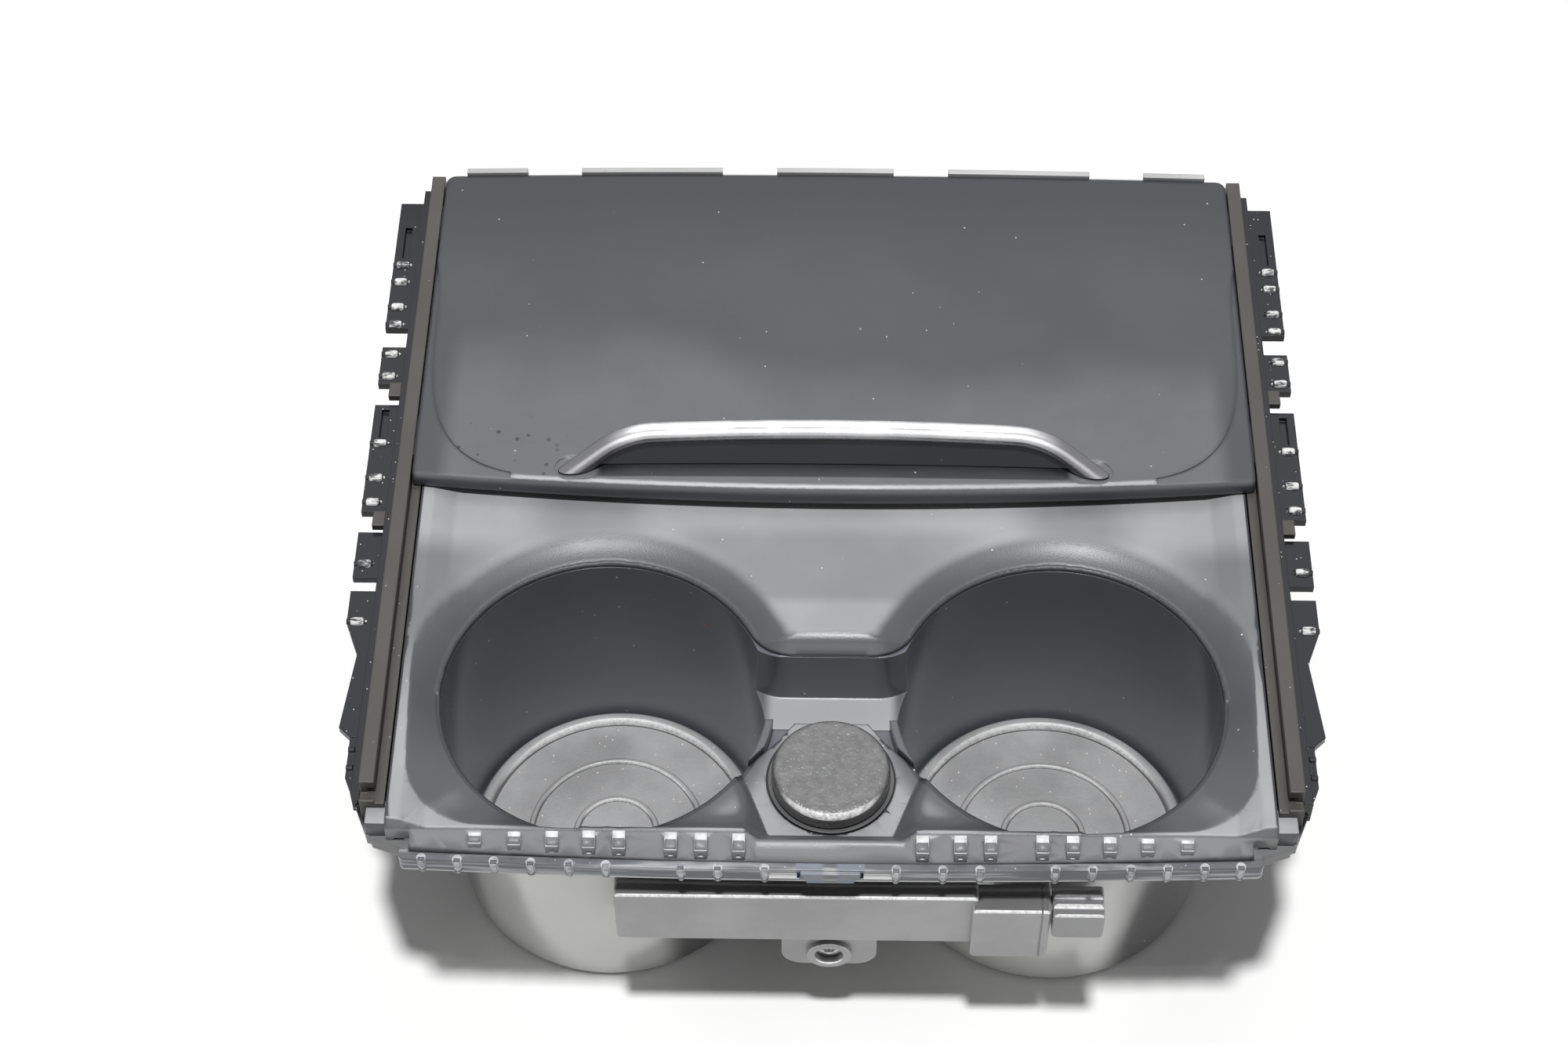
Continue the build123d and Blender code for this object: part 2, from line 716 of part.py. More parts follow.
# Insert: both wells in one moulding, with the trough and the socket tower
with BuildPart() as insert:
    for side in (-1, 1):
        with BuildSketch(Plane((side * cup_x, 0, 0), x_dir=(1, 0, 0), z_dir=(0, -1, 0))) as well:
            with BuildLine():
                Polyline(
                    (0, 0),
                    (foot_radius, 0),
                    (cavity_top_radius + cup_wall, insert_top),
                    (0, insert_top),
                    close=True,
                )
            make_face()
            fillet(well.vertices().group_by(Axis.Y)[0].sort_by(Axis.X)[-1], radius=cup_foot_fillet)
        revolve(axis=Axis((side * cup_x, 0, 0), (0, 0, 1)))
    with BuildSketch(Plane.XY.offset(trough_floor - trough_wall)):
        with Locations((0, (trough_front + trough_rear + trough_fillet) / 2)):
            Rectangle(2 * trough_half_width, trough_rear + trough_fillet - trough_front)
    extrude(amount=insert_top - trough_floor + trough_wall)
    with BuildSketch(Plane.XY.offset(trough_floor - trough_wall)):
        with Locations((0, (trough_front + plateau_front_y) / 2)):
            Rectangle(2 * trough_half_width, trough_front - plateau_front_y)
    extrude(amount=plateau_bottom - seat_gap - trough_floor + trough_wall)
    with Locations((0, socket_y, tower_bottom)):
        Cylinder(
            collar_radius + seat_gap + tower_wall,
            plateau_bottom - seat_gap - tower_bottom,
            align=(Align.CENTER, Align.CENTER, Align.MIN),
        )
    with BuildSketch(Plane.XZ.offset(-socket_y)):
        with Locations((0, screw_height)):
            Circle(lug_boss_radius)
    extrude(amount=socket_y - lug_back - skin_gap)
    with Locations((-cup_x, 0, cup_floor), (cup_x, 0, cup_floor)):
        Cone(
            cup_floor_radius,
            cavity_top_radius,
            insert_top - cup_floor,
            align=(Align.CENTER, Align.CENTER, Align.MIN),
            mode=Mode.SUBTRACT,
        )
    with BuildSketch(Plane.XY.offset(trough_floor)) as trough:
        with Locations((-cup_x, 0), (cup_x, 0)):
            Circle(cup_floor_radius)
        with Locations((0, (trough_rear + trough_front) / 2)):
            Rectangle(2 * trough_reach, trough_rear - trough_front)
        fillet(trough.vertices().group_by(Axis.Y)[-1], radius=trough_fillet)
    extrude(amount=insert_top - trough_floor, mode=Mode.SUBTRACT)
    with BuildSketch(Plane.XY.offset(plateau_bottom - seat_gap)):
        with BuildLine():
            Polyline(
                (0, web_front - seat_gap),
                (web_half_width + seat_gap, web_front - seat_gap),
                (plateau_side_half_width + seat_gap, plateau_side_y),
                (plateau_shoulder_half_width + seat_gap, plateau_shoulder_y + seat_gap),
                (plateau_rear_half_width + seat_gap, trough_front + seat_gap),
                (0, trough_front + seat_gap),
            )
            mirror(about=Plane.YZ)
        make_face()
    extrude(amount=insert_top, mode=Mode.SUBTRACT)
    with Locations((0, socket_y, 0)):
        Cylinder(
            collar_radius + seat_gap,
            insert_top,
            align=(Align.CENTER, Align.CENTER, Align.MIN),
            mode=Mode.SUBTRACT,
        )
    with BuildSketch(Plane.XZ.offset(-lug_back)):
        with Locations((0, screw_height)):
            Circle(screw_radius + skin_gap)
    extrude(amount=lug_back - screw_tip - skin_gap, mode=Mode.SUBTRACT)
    with BuildSketch(Plane.XY.offset(ear_top)):
        for place in ear_places:
            with Locations(place):
                Circle(ear_radius)
            with BuildLine():
                Line(place, (cup_x if place[0] > 0 else -cup_x, 0))
            trace(line_width=2 * ear_radius)
        with Locations(*ear_places):
            Circle(boss_pilot + seat_gap, mode=Mode.SUBTRACT)
        with Locations((-cup_x, 0), (cup_x, 0)):
            Circle(cup_mouth_radius, mode=Mode.SUBTRACT)
    extrude(amount=-ear_thickness)
save(insert, "cup_insert")


# Rubber mats: a thin disc with an outer bead and raised rings
def mat(side):
    with BuildPart() as part:
        with BuildSketch(Plane((side * cup_x, 0, cup_floor), x_dir=(1, 0, 0), z_dir=(0, -1, 0))):
            Rectangle(mat_radius, mat_thickness, align=(Align.MIN, Align.MIN))
            with Locations((mat_radius - mat_bead_width / 2, mat_thickness)):
                Ellipse(mat_bead_width / 2, mat_bead_height)
            for radius in mat_ring_radii:
                with Locations((radius, mat_thickness)):
                    Ellipse(mat_ring_width / 2, mat_ring_height)
            with Locations((0, 0)):
                Rectangle(
                    2 * mat_radius,
                    2 * mat_bead_height,
                    align=(Align.MIN, Align.MAX),
                    mode=Mode.SUBTRACT,
                )
        revolve(axis=Axis((side * cup_x, 0, 0), (0, 0, 1)))
    return part


save(mat(-1), "cup_mat_left")
save(mat(1), "cup_mat_right")


# Carrier frame: ledge ring, side walls, tabs, corner skirts and front bar
with BuildPart() as carrier:
    with BuildSketch(Plane.XY.offset(ledge_bottom)):
        with BuildLine():
            Polyline(
                (0, frame_rear),
                (frame_wall_outer, frame_rear),
                (frame_wall_outer, wing_front),
                (strip_outer, wing_front),
                (strip_outer, strip_front),
                (corner_outer, corner_y),
                (corner_inner, corner_inner_y),
                (bar_end, bar_side_back),
                (bar_half_width, bar_side_front),
                (0, bar_side_front),
            )
            mirror(about=Plane.YZ)
        make_face()
        with BuildLine():
            Polyline(
                (0, frame_rear - rear_bar_width),
                (ledge_inner, frame_rear - rear_bar_width),
                (ledge_inner, corner_front),
                (bar_half_width, corner_front),
                (bar_half_width, bar_front),
                (0, bar_front),
            )
            mirror(about=Plane.YZ)
        make_face(mode=Mode.SUBTRACT)
    extrude(amount=ledge_thickness)

    # Bowed front bar, deeper than the ring
    with BuildSketch(Plane.XY.offset(bar_bottom)) as bar_strip:
        with BuildLine():
            bar_face = ThreePointArc((-bar_end, bar_side_front), (0, bar_front), (bar_end, bar_side_front))
            bar_rear = ThreePointArc((-bar_end, bar_side_back), (0, bar_back), (bar_end, bar_side_back))
            Line(bar_face @ 0, bar_rear @ 0)
            Line(bar_face @ 1, bar_rear @ 1)
        make_face()
        fillet(bar_strip.vertices().group_by(Axis.Y)[0], radius=bar_end_round)
    extrude(amount=ledge_top - bar_bottom)

    # Side walls behind the rails
    with BuildSketch(Plane.XY.offset(ledge_bottom)):
        with Locations((-frame_wall_outer + frame_wall / 2, 0), (frame_wall_outer - frame_wall / 2, 0)):
            with Locations((0, (frame_rear + frame_wall_front) / 2)):
                Rectangle(frame_wall, frame_rear - frame_wall_front)
    extrude(amount=frame_wall_top - ledge_bottom)

    # Tabs along both sides, the front one with a waist and a flared tip
    with BuildSketch(Plane.XY.offset(tab_top - tab_thickness)):
        for tab_front, tab_rear in tab_spans:
            with Locations((0, (tab_front + tab_rear) / 2)):
                Rectangle(2 * tab_outer, tab_rear - tab_front)
        with BuildLine():
            Polyline(
                (0, wing_rear),
                (tab_outer, wing_rear),
                (tab_outer, wing_wide_y),
                (wing_neck, wing_neck_y),
                (wing_tip, wing_tip_y),
                (strip_outer, wing_front),
                (0, wing_front),
            )
            mirror(about=Plane.YZ)
        make_face()
        with Locations((0, (frame_rear + wing_front) / 2)):
            Rectangle(2 * frame_wall_inner, frame_rear - wing_front, mode=Mode.SUBTRACT)
    extrude(amount=tab_thickness)
    with BuildSketch(Plane.XY.offset(tab_top)):
        for slot_front, slot_rear in tab_slots:
            for side in (-1, 1):
                with Locations((side * (tab_slot_inner + tab_slot_width / 2), (slot_front + slot_rear) / 2)):
                    Rectangle(tab_slot_width, slot_rear - slot_front)
    extrude(amount=-tab_slot_depth, mode=Mode.SUBTRACT)

    # Crush ribs on the tabs and on the front strip
    for place in tab_rib_places:
        for side in (-1, 1):
            with Locations((side * (tab_outer - tab_rib_length / 2), place, tab_top)):
                Cylinder(tab_rib_radius, tab_rib_length, rotation=(0, 90, 0))
    for place in strip_rib_places:
        for side in (-1, 1):
            with Locations((side * (strip_outer - tab_rib_radius), place, ledge_top)):
                Cylinder(tab_rib_radius, 2 * tab_rib_radius, rotation=(0, 90, 0))

    # Thin skirts that hang from the two front corners
    with BuildSketch(Plane.XY.offset(skirt_bottom)):
        for side in (-1, 1):
            with BuildLine():
                Polyline(
                    (side * (strip_outer - skirt_thickness), strip_front),
                    (side * (corner_outer - skirt_thickness), corner_y + skirt_thickness),
                    (side * corner_inner, corner_inner_y + skirt_thickness),
                )
            trace(line_width=skirt_thickness)
    extrude(amount=ledge_top - skirt_bottom)

    # Windows for the rail clips
    for place in rail_clip_places:
        with Locations((0, place, rail_clip_bottom - seat_gap)):
            Box(
                2 * tab_outer,
                rail_clip_width + 2 * seat_gap,
                rail_clip_thickness + 2 * seat_gap,
                align=(Align.CENTER, Align.CENTER, Align.MIN),
                mode=Mode.SUBTRACT,
            )

    # Crush ribs, latch windows and latch block of the front bar
    for place in bar_rib_places:
        rib_front = bar_front - bar_rib_height + nose_bow * (place / bar_end) ** 2
        for side in (-1, 1):
            with Locations((side * place, rib_front, bar_bottom + bar_rib_height)):
                Box(
                    bar_rib_width,
                    bar_back - bar_front - 2 * bar_rib_height,
                    ledge_top - bar_bottom,
                    align=(Align.CENTER, Align.MIN, Align.MIN),
                )
    latch_window_middle = (latch_window_inner + latch_window_outer) / 2
    for side in (-1, 1):
        with Locations((side * latch_window_middle, bar_front, latch_window_bottom)):
            Box(
                latch_window_outer - latch_window_inner,
                2 * latch_window_depth,
                latch_window_height,
                align=(Align.CENTER, Align.CENTER, Align.MIN),
                mode=Mode.SUBTRACT,
            )
    with BuildSketch(Plane.XZ.offset(-bar_front - seat_gap)):
        with Locations((0, latch_window_bottom + latch_window_height / 2)):
            Trapezoid(2 * latch_window_inner, latch_block_height, latch_block_angle, rotation=180)
    extrude(amount=latch_block_depth + seat_gap)
save(carrier, "carrier_frame")


# Guide rails: C-section with a foot, clips through the frame wall and an end stop
def guide_rail(side):
    with BuildPart() as part:
        with BuildSketch(Plane.XZ.offset(-frame_rear)):
            with BuildLine():
                Polyline(
                    (side * rail_outer, ledge_top),
                    (side * rail_outer, rail_top),
                    (side * rail_inner, rail_top),
                    (side * rail_inner, slot_top),
                    (side * (rail_outer - rail_web), slot_top),
                    (side * (rail_outer - rail_web), slot_bottom),
                    (side * (rail_outer - rail_lower_width), slot_bottom),
                    (side * (rail_outer - rail_lower_width), slot_bottom - rail_lower_thickness),
                    (side * (rail_outer - rail_foot), slot_bottom - rail_lower_thickness),
                    (side * (rail_outer - rail_foot), ledge_top),
                    close=True,
                )
            make_face()
        extrude(amount=frame_rear - rail_lower_front)
        with Locations((side * rail_outer, rail_lower_front, slot_bottom)):
            Box(
                2 * rail_lower_width,
                2 * (rail_upper_front - rail_lower_front),
                rail_top,
                align=(Align.CENTER, Align.CENTER, Align.MIN),
                mode=Mode.SUBTRACT,
            )
        with Locations((side * (rail_outer - rail_upper_width / 2), rail_lower_front, slot_bottom)):
            Box(
                rail_upper_width,
                rail_stop_height,
                rail_stop_height,
                align=(Align.CENTER, Align.MIN, Align.MIN),
            )
        for place in rail_clip_places:
            with Locations((side * (rail_outer + rail_clip_outer) / 2, place, rail_clip_bottom)):
                Box(
                    rail_clip_outer - rail_outer,
                    rail_clip_width,
                    rail_clip_thickness,
                    align=(Align.CENTER, Align.CENTER, Align.MIN),
                )
    return part


save(guide_rail(-1), "guide_rail_left")
save(guide_rail(1), "guide_rail_right")


# Outline of the lid seen from above, with its bowed front edge
def lid_outline(inset):
    with BuildSketch() as outline:
        with BuildLine():
            front = ThreePointArc(
                (-lid_half, lid_front_side + inset),
                (0, lid_front_middle + inset),
                (lid_half, lid_front_side + inset),
            )
            Polyline(front @ 1, (lid_half, lid_rear), (-lid_half, lid_rear), front @ 0)
        make_face()
        fillet(outline.vertices().group_by(Axis.Y)[-1], radius=lid_corner)
    return outline.sketch


# Crowned slice across the lid between two levels, each given at the lid's side and in the middle
def crowned(low_side, low_middle, high_side, high_middle):
    reach = lid_half + lid_corner
    beyond = (reach / lid_half) ** 2
    low_end = low_middle + (low_side - low_middle) * beyond
    high_end = high_middle + (high_side - high_middle) * beyond
    with BuildSketch(Plane.XZ.offset(-hook_rear)) as section:
        with BuildLine():
            low = ThreePointArc((-reach, low_end), (0, low_middle), (reach, low_end))
            high = ThreePointArc((-reach, high_end), (0, high_middle), (reach, high_end))
            Line(low @ 0, high @ 0)
            Line(low @ 1, high @ 1)
        make_face()
    return section.sketch


# Lip that hangs from the front edge of the lid
with BuildPart() as lid_lip:
    extrude(
        crowned(
            lip_bottom_side,
            lip_bottom_middle,
            rail_top - lid_skin / 2,
            lid_crown_height - lid_skin / 2,
        ),
        amount=hook_rear,
    )
    with BuildSketch() as lip_strip:
        add(lid_outline(0))
        add(lid_outline(lip_thickness), mode=Mode.SUBTRACT)
    extrude(lip_strip.sketch, amount=2 * lid_crown_height, mode=Mode.INTERSECT)

# Corner fields of the lid, a little lower than its middle
with BuildPart() as lid_crease:
    extrude(
        crowned(
            rail_top - crease_depth,
            lid_crown_height - crease_depth,
            lid_crown_height,
            lid_crown_height + lid_crown,
        ),
        amount=hook_rear,
    )
    with BuildSketch() as corner_field:
        with BuildLine():
            sweep_line = Spline(
                (lid_half, crease_rear),
                (lid_half - crease_mid_inset, crease_mid_y),
                (lid_half - crease_turn_inset, crease_turn_y),
                (lid_half - crease_front_inset, crease_front_y),
            )
            Polyline(
                sweep_line @ 1,
                (lid_half - crease_front_inset, lid_front_middle),
                (lid_half + lid_corner, lid_front_middle),
                (lid_half + lid_corner, crease_rear),
                sweep_line @ 0,
            )
        make_face()
        mirror(about=Plane.YZ)
    extrude(corner_field.sketch, amount=2 * lid_crown_height, mode=Mode.INTERSECT)

# Skin of the lid: crowned panel with its front lip
with BuildPart() as lid:
    extrude(
        crowned(lid_skin_bottom, lid_skin_bottom + lid_crown, rail_top, lid_crown_height),
        amount=hook_rear,
    )
    extrude(lid_outline(0), amount=2 * lid_crown_height, mode=Mode.INTERSECT)
    add(lid_lip.part)
    front_edges = lid.faces().sort_by(Axis.Y)[0].edges().sort_by(Axis.Z)
    fillet(front_edges[-1], radius=lip_round)
    fillet(lid.faces().sort_by(Axis.Y)[0].edges().sort_by(Axis.Z)[0], radius=lip_edge_round)
    add(lid_crease.part, mode=Mode.SUBTRACT)
    with BuildSketch(Plane.XY.offset(arch_foot_z - foot_well_depth)):
        with Locations((-arch_foot_x, arch_foot_y), (arch_foot_x, arch_foot_y)):
            SlotOverall(foot_well_length, foot_well_width)
    extrude(amount=lid_crown, mode=Mode.SUBTRACT)
    with Locations((-arch_foot_x, arch_foot_y), (arch_foot_x, arch_foot_y)):
        Cylinder(peg_radius + skin_gap, 3 * lid_crown_height, mode=Mode.SUBTRACT)
save(lid, "lid_panel")


# Under panel of the lid, with the hook strips along its rear edge
with BuildPart() as under:
    extrude(
        crowned(
            under_bottom,
            under_bottom + lid_crown,
            under_bottom + under_thickness,
            under_bottom + under_thickness + lid_crown,
        ),
        amount=hook_rear - under_front,
    )
    with BuildSketch():
        with Locations((0, (under_front + hook_rear) / 2)):
            Rectangle(2 * under_half_width, hook_rear - under_front)
        for place in (shoe_front_y, shoe_rear_y):
            for side in (-under_half_width, under_half_width):
                with Locations((side, place + shoe_length / 2)):
                    Rectangle(2 * (shoe_notch + skin_gap), shoe_length + 2 * skin_gap, mode=Mode.SUBTRACT)
    extrude(amount=2 * lid_crown_height, mode=Mode.INTERSECT)
with BuildPart() as hooks:
    extrude(
        crowned(under_bottom, under_bottom + lid_crown, rail_top + hook_rise, lid_crown_height + hook_rise),
        amount=hook_thickness,
    )
    with BuildSketch():
        for left, right in hook_spans:
            with Locations(((left + right) / 2, hook_rear)):
                Rectangle(right - left, 2 * hook_thickness)
    extrude(amount=2 * lid_crown_height, mode=Mode.INTERSECT)
with BuildPart() as under_panel:
    add(under.part)
    add(hooks.part)
save(under_panel, "lid_under_panel")


# Glide shoes: a block in the under panel's notch and a blade that runs in the rail
def glide_shoe(side, place):
    with BuildPart() as part:
        with Locations((side * (under_half_width - shoe_notch), place, shoe_bottom)):
            Box(
                rail_outer - rail_web - slide_gap - under_half_width + shoe_notch,
                shoe_length,
                shoe_top - shoe_bottom,
                align=(Align.MIN if side > 0 else Align.MAX, Align.MIN, Align.MIN),
            )
            Box(
                2 * shoe_notch,
                shoe_length,
                lid_skin_bottom - skin_gap - shoe_bottom,
                align=(Align.MIN if side > 0 else Align.MAX, Align.MIN, Align.MIN),
            )
    return part


save(glide_shoe(-1, shoe_front_y), "glide_shoe_front_left")
save(glide_shoe(1, shoe_front_y), "glide_shoe_front_right")
save(glide_shoe(-1, shoe_rear_y), "glide_shoe_rear_left")
save(glide_shoe(1, shoe_rear_y), "glide_shoe_rear_right")


# Leaning plane of the handle and the centre line of its arch
arch_normal = (0, -cos(radians(arch_lean)), sin(radians(arch_lean)))
arch_plane = Plane((0, arch_foot_y, arch_foot_z), x_dir=(1, 0, 0), z_dir=arch_normal)
arch_slope = arch_shoulder_rise / arch_shoulder_inset
arch_shoulder_x = arch_foot_x - arch_shoulder_inset
arch_bow = arch_middle_rise - arch_shoulder_rise
arch_across = [2 * step / arch_steps - 1 for step in range(arch_steps + 1)]
arch_corners = [
    (-arch_foot_x - arch_below / arch_slope, -arch_below),
    *[(arch_shoulder_x * part, arch_middle_rise - arch_bow * part**2) for part in arch_across],
    (arch_foot_x + arch_below / arch_slope, -arch_below),
]
with BuildLine(arch_plane) as arch_path:
    FilletPolyline(*arch_corners, radius=arch_bend)


# Flattened bar along the arch, grown by a clearance
def arch_bar(clearance):
    with BuildPart() as bar:
        with BuildSketch(Plane(arch_path.line @ 0, x_dir=arch_normal, z_dir=arch_path.line % 0)):
            Ellipse(arch_thickness / 2 + clearance, arch_width / 2 + clearance)
        sweep(path=arch_path.line)
    return bar.part


# Silver arch with flat feet and two pegs that hold it to the lid
with BuildPart() as trim:
    add(arch_bar(0))
    with Locations((0, arch_foot_y, arch_foot_z)):
        Box(
            3 * arch_foot_x,
            lid_rear,
            3 * arch_below,
            align=(Align.CENTER, Align.CENTER, Align.MAX),
            mode=Mode.SUBTRACT,
        )
    with Locations((-arch_foot_x, arch_foot_y), (arch_foot_x, arch_foot_y)):
        with Locations((0, 0, arch_foot_z + peg_root)):
            Cylinder(peg_radius, peg_root + peg_length, align=(Align.CENTER, Align.CENTER, Align.MAX))
save(trim, "handle_trim")

# Black grip that fills the arch
with BuildPart() as grip:
    with BuildSketch(arch_plane.offset(-grip_recess)):
        with BuildLine():
            edge = FilletPolyline(*arch_corners, radius=arch_bend)
            Line(edge @ 1, edge @ 0)
        make_face()
    extrude(amount=-grip_thickness)
    add(arch_bar(skin_gap), mode=Mode.SUBTRACT)
    extrude(
        crowned(ledge_top, ledge_top - lid_crown, rail_top + skin_gap, lid_crown_height + skin_gap),
        amount=hook_rear,
        mode=Mode.SUBTRACT,
    )
save(grip, "handle_grip")


# 12 V socket: collar, barrel, base, centre contact, terminals and cap
with BuildPart() as collar:
    with Locations((0, socket_y, collar_top)):
        Cylinder(collar_flange_radius, collar_flange, align=(Align.CENTER, Align.CENTER, Align.MAX))
        Cylinder(collar_radius, collar_top - collar_bottom, align=(Align.CENTER, Align.CENTER, Align.MAX))
        Cylinder(
            collar_radius - collar_wall,
            collar_top - collar_bottom,
            align=(Align.CENTER, Align.CENTER, Align.MAX),
            mode=Mode.SUBTRACT,
        )
save(collar, "socket_collar")

with BuildPart() as barrel:
    with Locations((0, socket_y, barrel_bottom)):
        Cylinder(barrel_radius, collar_top - barrel_bottom, align=(Align.CENTER, Align.CENTER, Align.MIN))
        Cylinder(
            socket_bore,
            collar_top - barrel_bottom,
            align=(Align.CENTER, Align.CENTER, Align.MIN),
            mode=Mode.SUBTRACT,
        )
save(barrel, "socket_barrel")

with BuildPart() as base:
    with Locations((0, socket_y, barrel_bottom - skin_gap)):
        Cylinder(
            barrel_radius,
            barrel_bottom - skin_gap - collar_bottom,
            align=(Align.CENTER, Align.CENTER, Align.MAX),
        )
        Cylinder(contact_stem_radius + skin_gap, 2 * barrel_bottom, mode=Mode.SUBTRACT)
    with Locations((-terminal_pitch / 2, socket_y, 0), (terminal_pitch / 2, socket_y, 0)):
        Box(
            terminal_thickness + 2 * skin_gap,
            terminal_width + 2 * skin_gap,
            2 * barrel_bottom,
            align=(Align.CENTER, Align.CENTER, Align.CENTER),
            mode=Mode.SUBTRACT,
        )
save(base, "socket_base")

with BuildPart() as contact:
    with Locations((0, socket_y, barrel_bottom)):
        Cylinder(contact_radius, contact_height, align=(Align.CENTER, Align.CENTER, Align.MIN))
        Cylinder(
            contact_stem_radius,
            barrel_bottom - collar_bottom,
            align=(Align.CENTER, Align.CENTER, Align.MAX),
        )
save(contact, "socket_contact")

with BuildPart() as terminals:
    for place in (-terminal_pitch / 2, terminal_pitch / 2):
        with Locations((place, socket_y, barrel_bottom - skin_gap)):
            Box(
                terminal_thickness,
                terminal_width,
                terminal_length + barrel_bottom - collar_bottom,
                align=(Align.CENTER, Align.CENTER, Align.MAX),
            )
save(terminals, "socket_terminals")

with BuildPart() as cap:
    with Locations((0, socket_y, cap_bottom)):
        Cylinder(cap_radius, cap_thickness, align=(Align.CENTER, Align.CENTER, Align.MIN))
    fillet(cap.edges().group_by(Axis.Z)[-1], radius=cap_rim_fillet)
    fillet(cap.edges().group_by(Axis.Z)[0], radius=cap_foot_fillet)
    with Locations((0, socket_y, cap_bottom)):
        Cylinder(socket_bore - slide_gap, cap_stem_length, align=(Align.CENTER, Align.CENTER, Align.MAX))
save(cap, "socket_cap")


# Aerial bar: hollow housing with a connector shell and a lug for its screw
with BuildPart() as housing:
    with BuildSketch(Plane.XZ.offset(-aerial_back)):
        with Locations(((aerial_left + aerial_right) / 2, core_z)):
            RectangleRounded(aerial_right - aerial_left, aerial_top - aerial_bottom, aerial_round)
    extrude(amount=aerial_back - aerial_front)
    fillet(housing.faces().sort_by(Axis.Y)[0].edges(), radius=aerial_edge)
    with BuildSketch(Plane.XZ.offset(-aerial_back)):
        with Locations(((aerial_right - shell_wall + shell_right) / 2, (shell_top + shell_bottom) / 2)):
            RectangleRounded(shell_right - aerial_right + shell_wall, shell_top - shell_bottom, aerial_round)
    extrude(amount=aerial_back - shell_front)
    fillet(housing.faces().sort_by(Axis.Y)[0].edges(), radius=aerial_edge)
    with BuildSketch(Plane.XZ.offset(-lug_back)) as lug:
        with Locations((0, aerial_bottom)):
            Rectangle(
                lug_width,
                aerial_bottom - screw_height + lug_boss_radius,
                align=(Align.CENTER, Align.MAX),
            )
        fillet(lug.vertices().group_by(Axis.Y)[0], radius=lug_fillet)
        with Locations((0, aerial_bottom)):
            Rectangle(lug_width, 2 * aerial_wall)
    extrude(amount=lug_back - lug_front)
    with BuildSketch(Plane.XZ.offset(-aerial_back)):
        with BuildLine():
            Polyline(
                (aerial_left + aerial_wall, aerial_bottom + aerial_wall),
                (aerial_right - aerial_wall, aerial_bottom + aerial_wall),
                (aerial_right - aerial_wall, aerial_top - aerial_wall),
                (aerial_left + aerial_wall, aerial_top - aerial_wall),
                close=True,
            )
        make_face()
    extrude(amount=aerial_back - cavity_front, mode=Mode.SUBTRACT)
    for place in (core_left + core_rib_inset, core_left + core_length - core_rib_inset):
        with Locations((place, cavity_front, core_z)):
            Box(
                core_rib_width,
                cavity_back - skin_gap - cavity_front,
                core_rib_height,
                align=(Align.CENTER, Align.MIN, Align.CENTER),
            )
    with Locations((core_left + core_length / 2, core_y, core_z)):
        Box(
            core_length + 2 * skin_gap,
            core_depth + 2 * skin_gap,
            core_height + 2 * skin_gap,
            mode=Mode.SUBTRACT,
        )
    groove_x = shell_right - shell_groove_inset
    with Locations((groove_x, shell_front, (shell_top + shell_bottom) / 2)):
        Box(shell_groove_width, 2 * shell_groove_depth, shell_height, mode=Mode.SUBTRACT)
    with Locations((groove_x, shell_y, shell_top)):
        Box(shell_groove_width, shell_depth, 2 * shell_groove_depth, mode=Mode.SUBTRACT)
    with Locations((aerial_right + shell_wall, shell_front + shell_wall, shell_bottom + shell_wall)):
        Box(
            shell_right - aerial_right,
            aerial_back - shell_front - 2 * shell_wall,
            shell_top - shell_bottom - 2 * shell_wall,
            align=(Align.MIN, Align.MIN, Align.MIN),
            mode=Mode.SUBTRACT,
        )
    for row in range(pin_rows):
        with Locations((aerial_right, core_y, pin_lowest + row * pin_pitch)):
            Cylinder(pin_radius + skin_gap, 4 * shell_wall, rotation=(0, 90, 0), mode=Mode.SUBTRACT)
    with BuildSketch(Plane.XZ.offset(-lug_back)):
        with Locations((0, screw_height)):
            Circle(screw_radius + seat_gap)
    extrude(amount=lug_back - lug_front, mode=Mode.SUBTRACT)
    with BuildSketch(Plane.XZ.offset(-lug_front)):
        with Locations((0, screw_height)):
            Circle(screw_head_radius + seat_gap)
    extrude(amount=-screw_head_height - seat_gap, mode=Mode.SUBTRACT)
save(housing, "antenna_housing")

with BuildPart() as back_plate:
    with Locations(((aerial_left + aerial_right) / 2, aerial_back, core_z)):
        Box(
            aerial_right - aerial_left - 2 * aerial_wall - 2 * skin_gap,
            aerial_lid,
            aerial_top - aerial_bottom - 2 * aerial_wall - 2 * skin_gap,
            align=(Align.CENTER, Align.MAX, Align.CENTER),
        )
    with BuildSketch(Plane.XZ.offset(-aerial_back)):
        with Locations((0, aerial_bottom)):
            Rectangle(lug_width + 2 * seat_gap, 2 * aerial_wall + 2 * seat_gap)
    extrude(amount=aerial_lid, mode=Mode.SUBTRACT)
save(back_plate, "antenna_back")

with BuildPart() as core:
    with Locations((core_left + core_length / 2, core_y, core_z)):
        Box(core_length, core_depth, core_height)
save(core, "ferrite_core")

with BuildPart() as coil:
    with Locations((core_left + core_length / 2, core_y, core_z)):
        Box(
            coil_length,
            core_depth + 2 * (skin_gap + coil_build),
            core_height + 2 * (skin_gap + coil_build),
        )
        Box(coil_length, core_depth + 2 * skin_gap, core_height + 2 * skin_gap, mode=Mode.SUBTRACT)
save(coil, "antenna_coil")

with BuildPart() as pins:
    for row in range(pin_rows):
        with Locations((aerial_right - 2 * shell_wall, core_y, pin_lowest + row * pin_pitch)):
            Cylinder(
                pin_radius,
                pin_length,
                rotation=(0, 90, 0),
                align=(Align.CENTER, Align.CENTER, Align.MIN),
            )
save(pins, "antenna_pins")

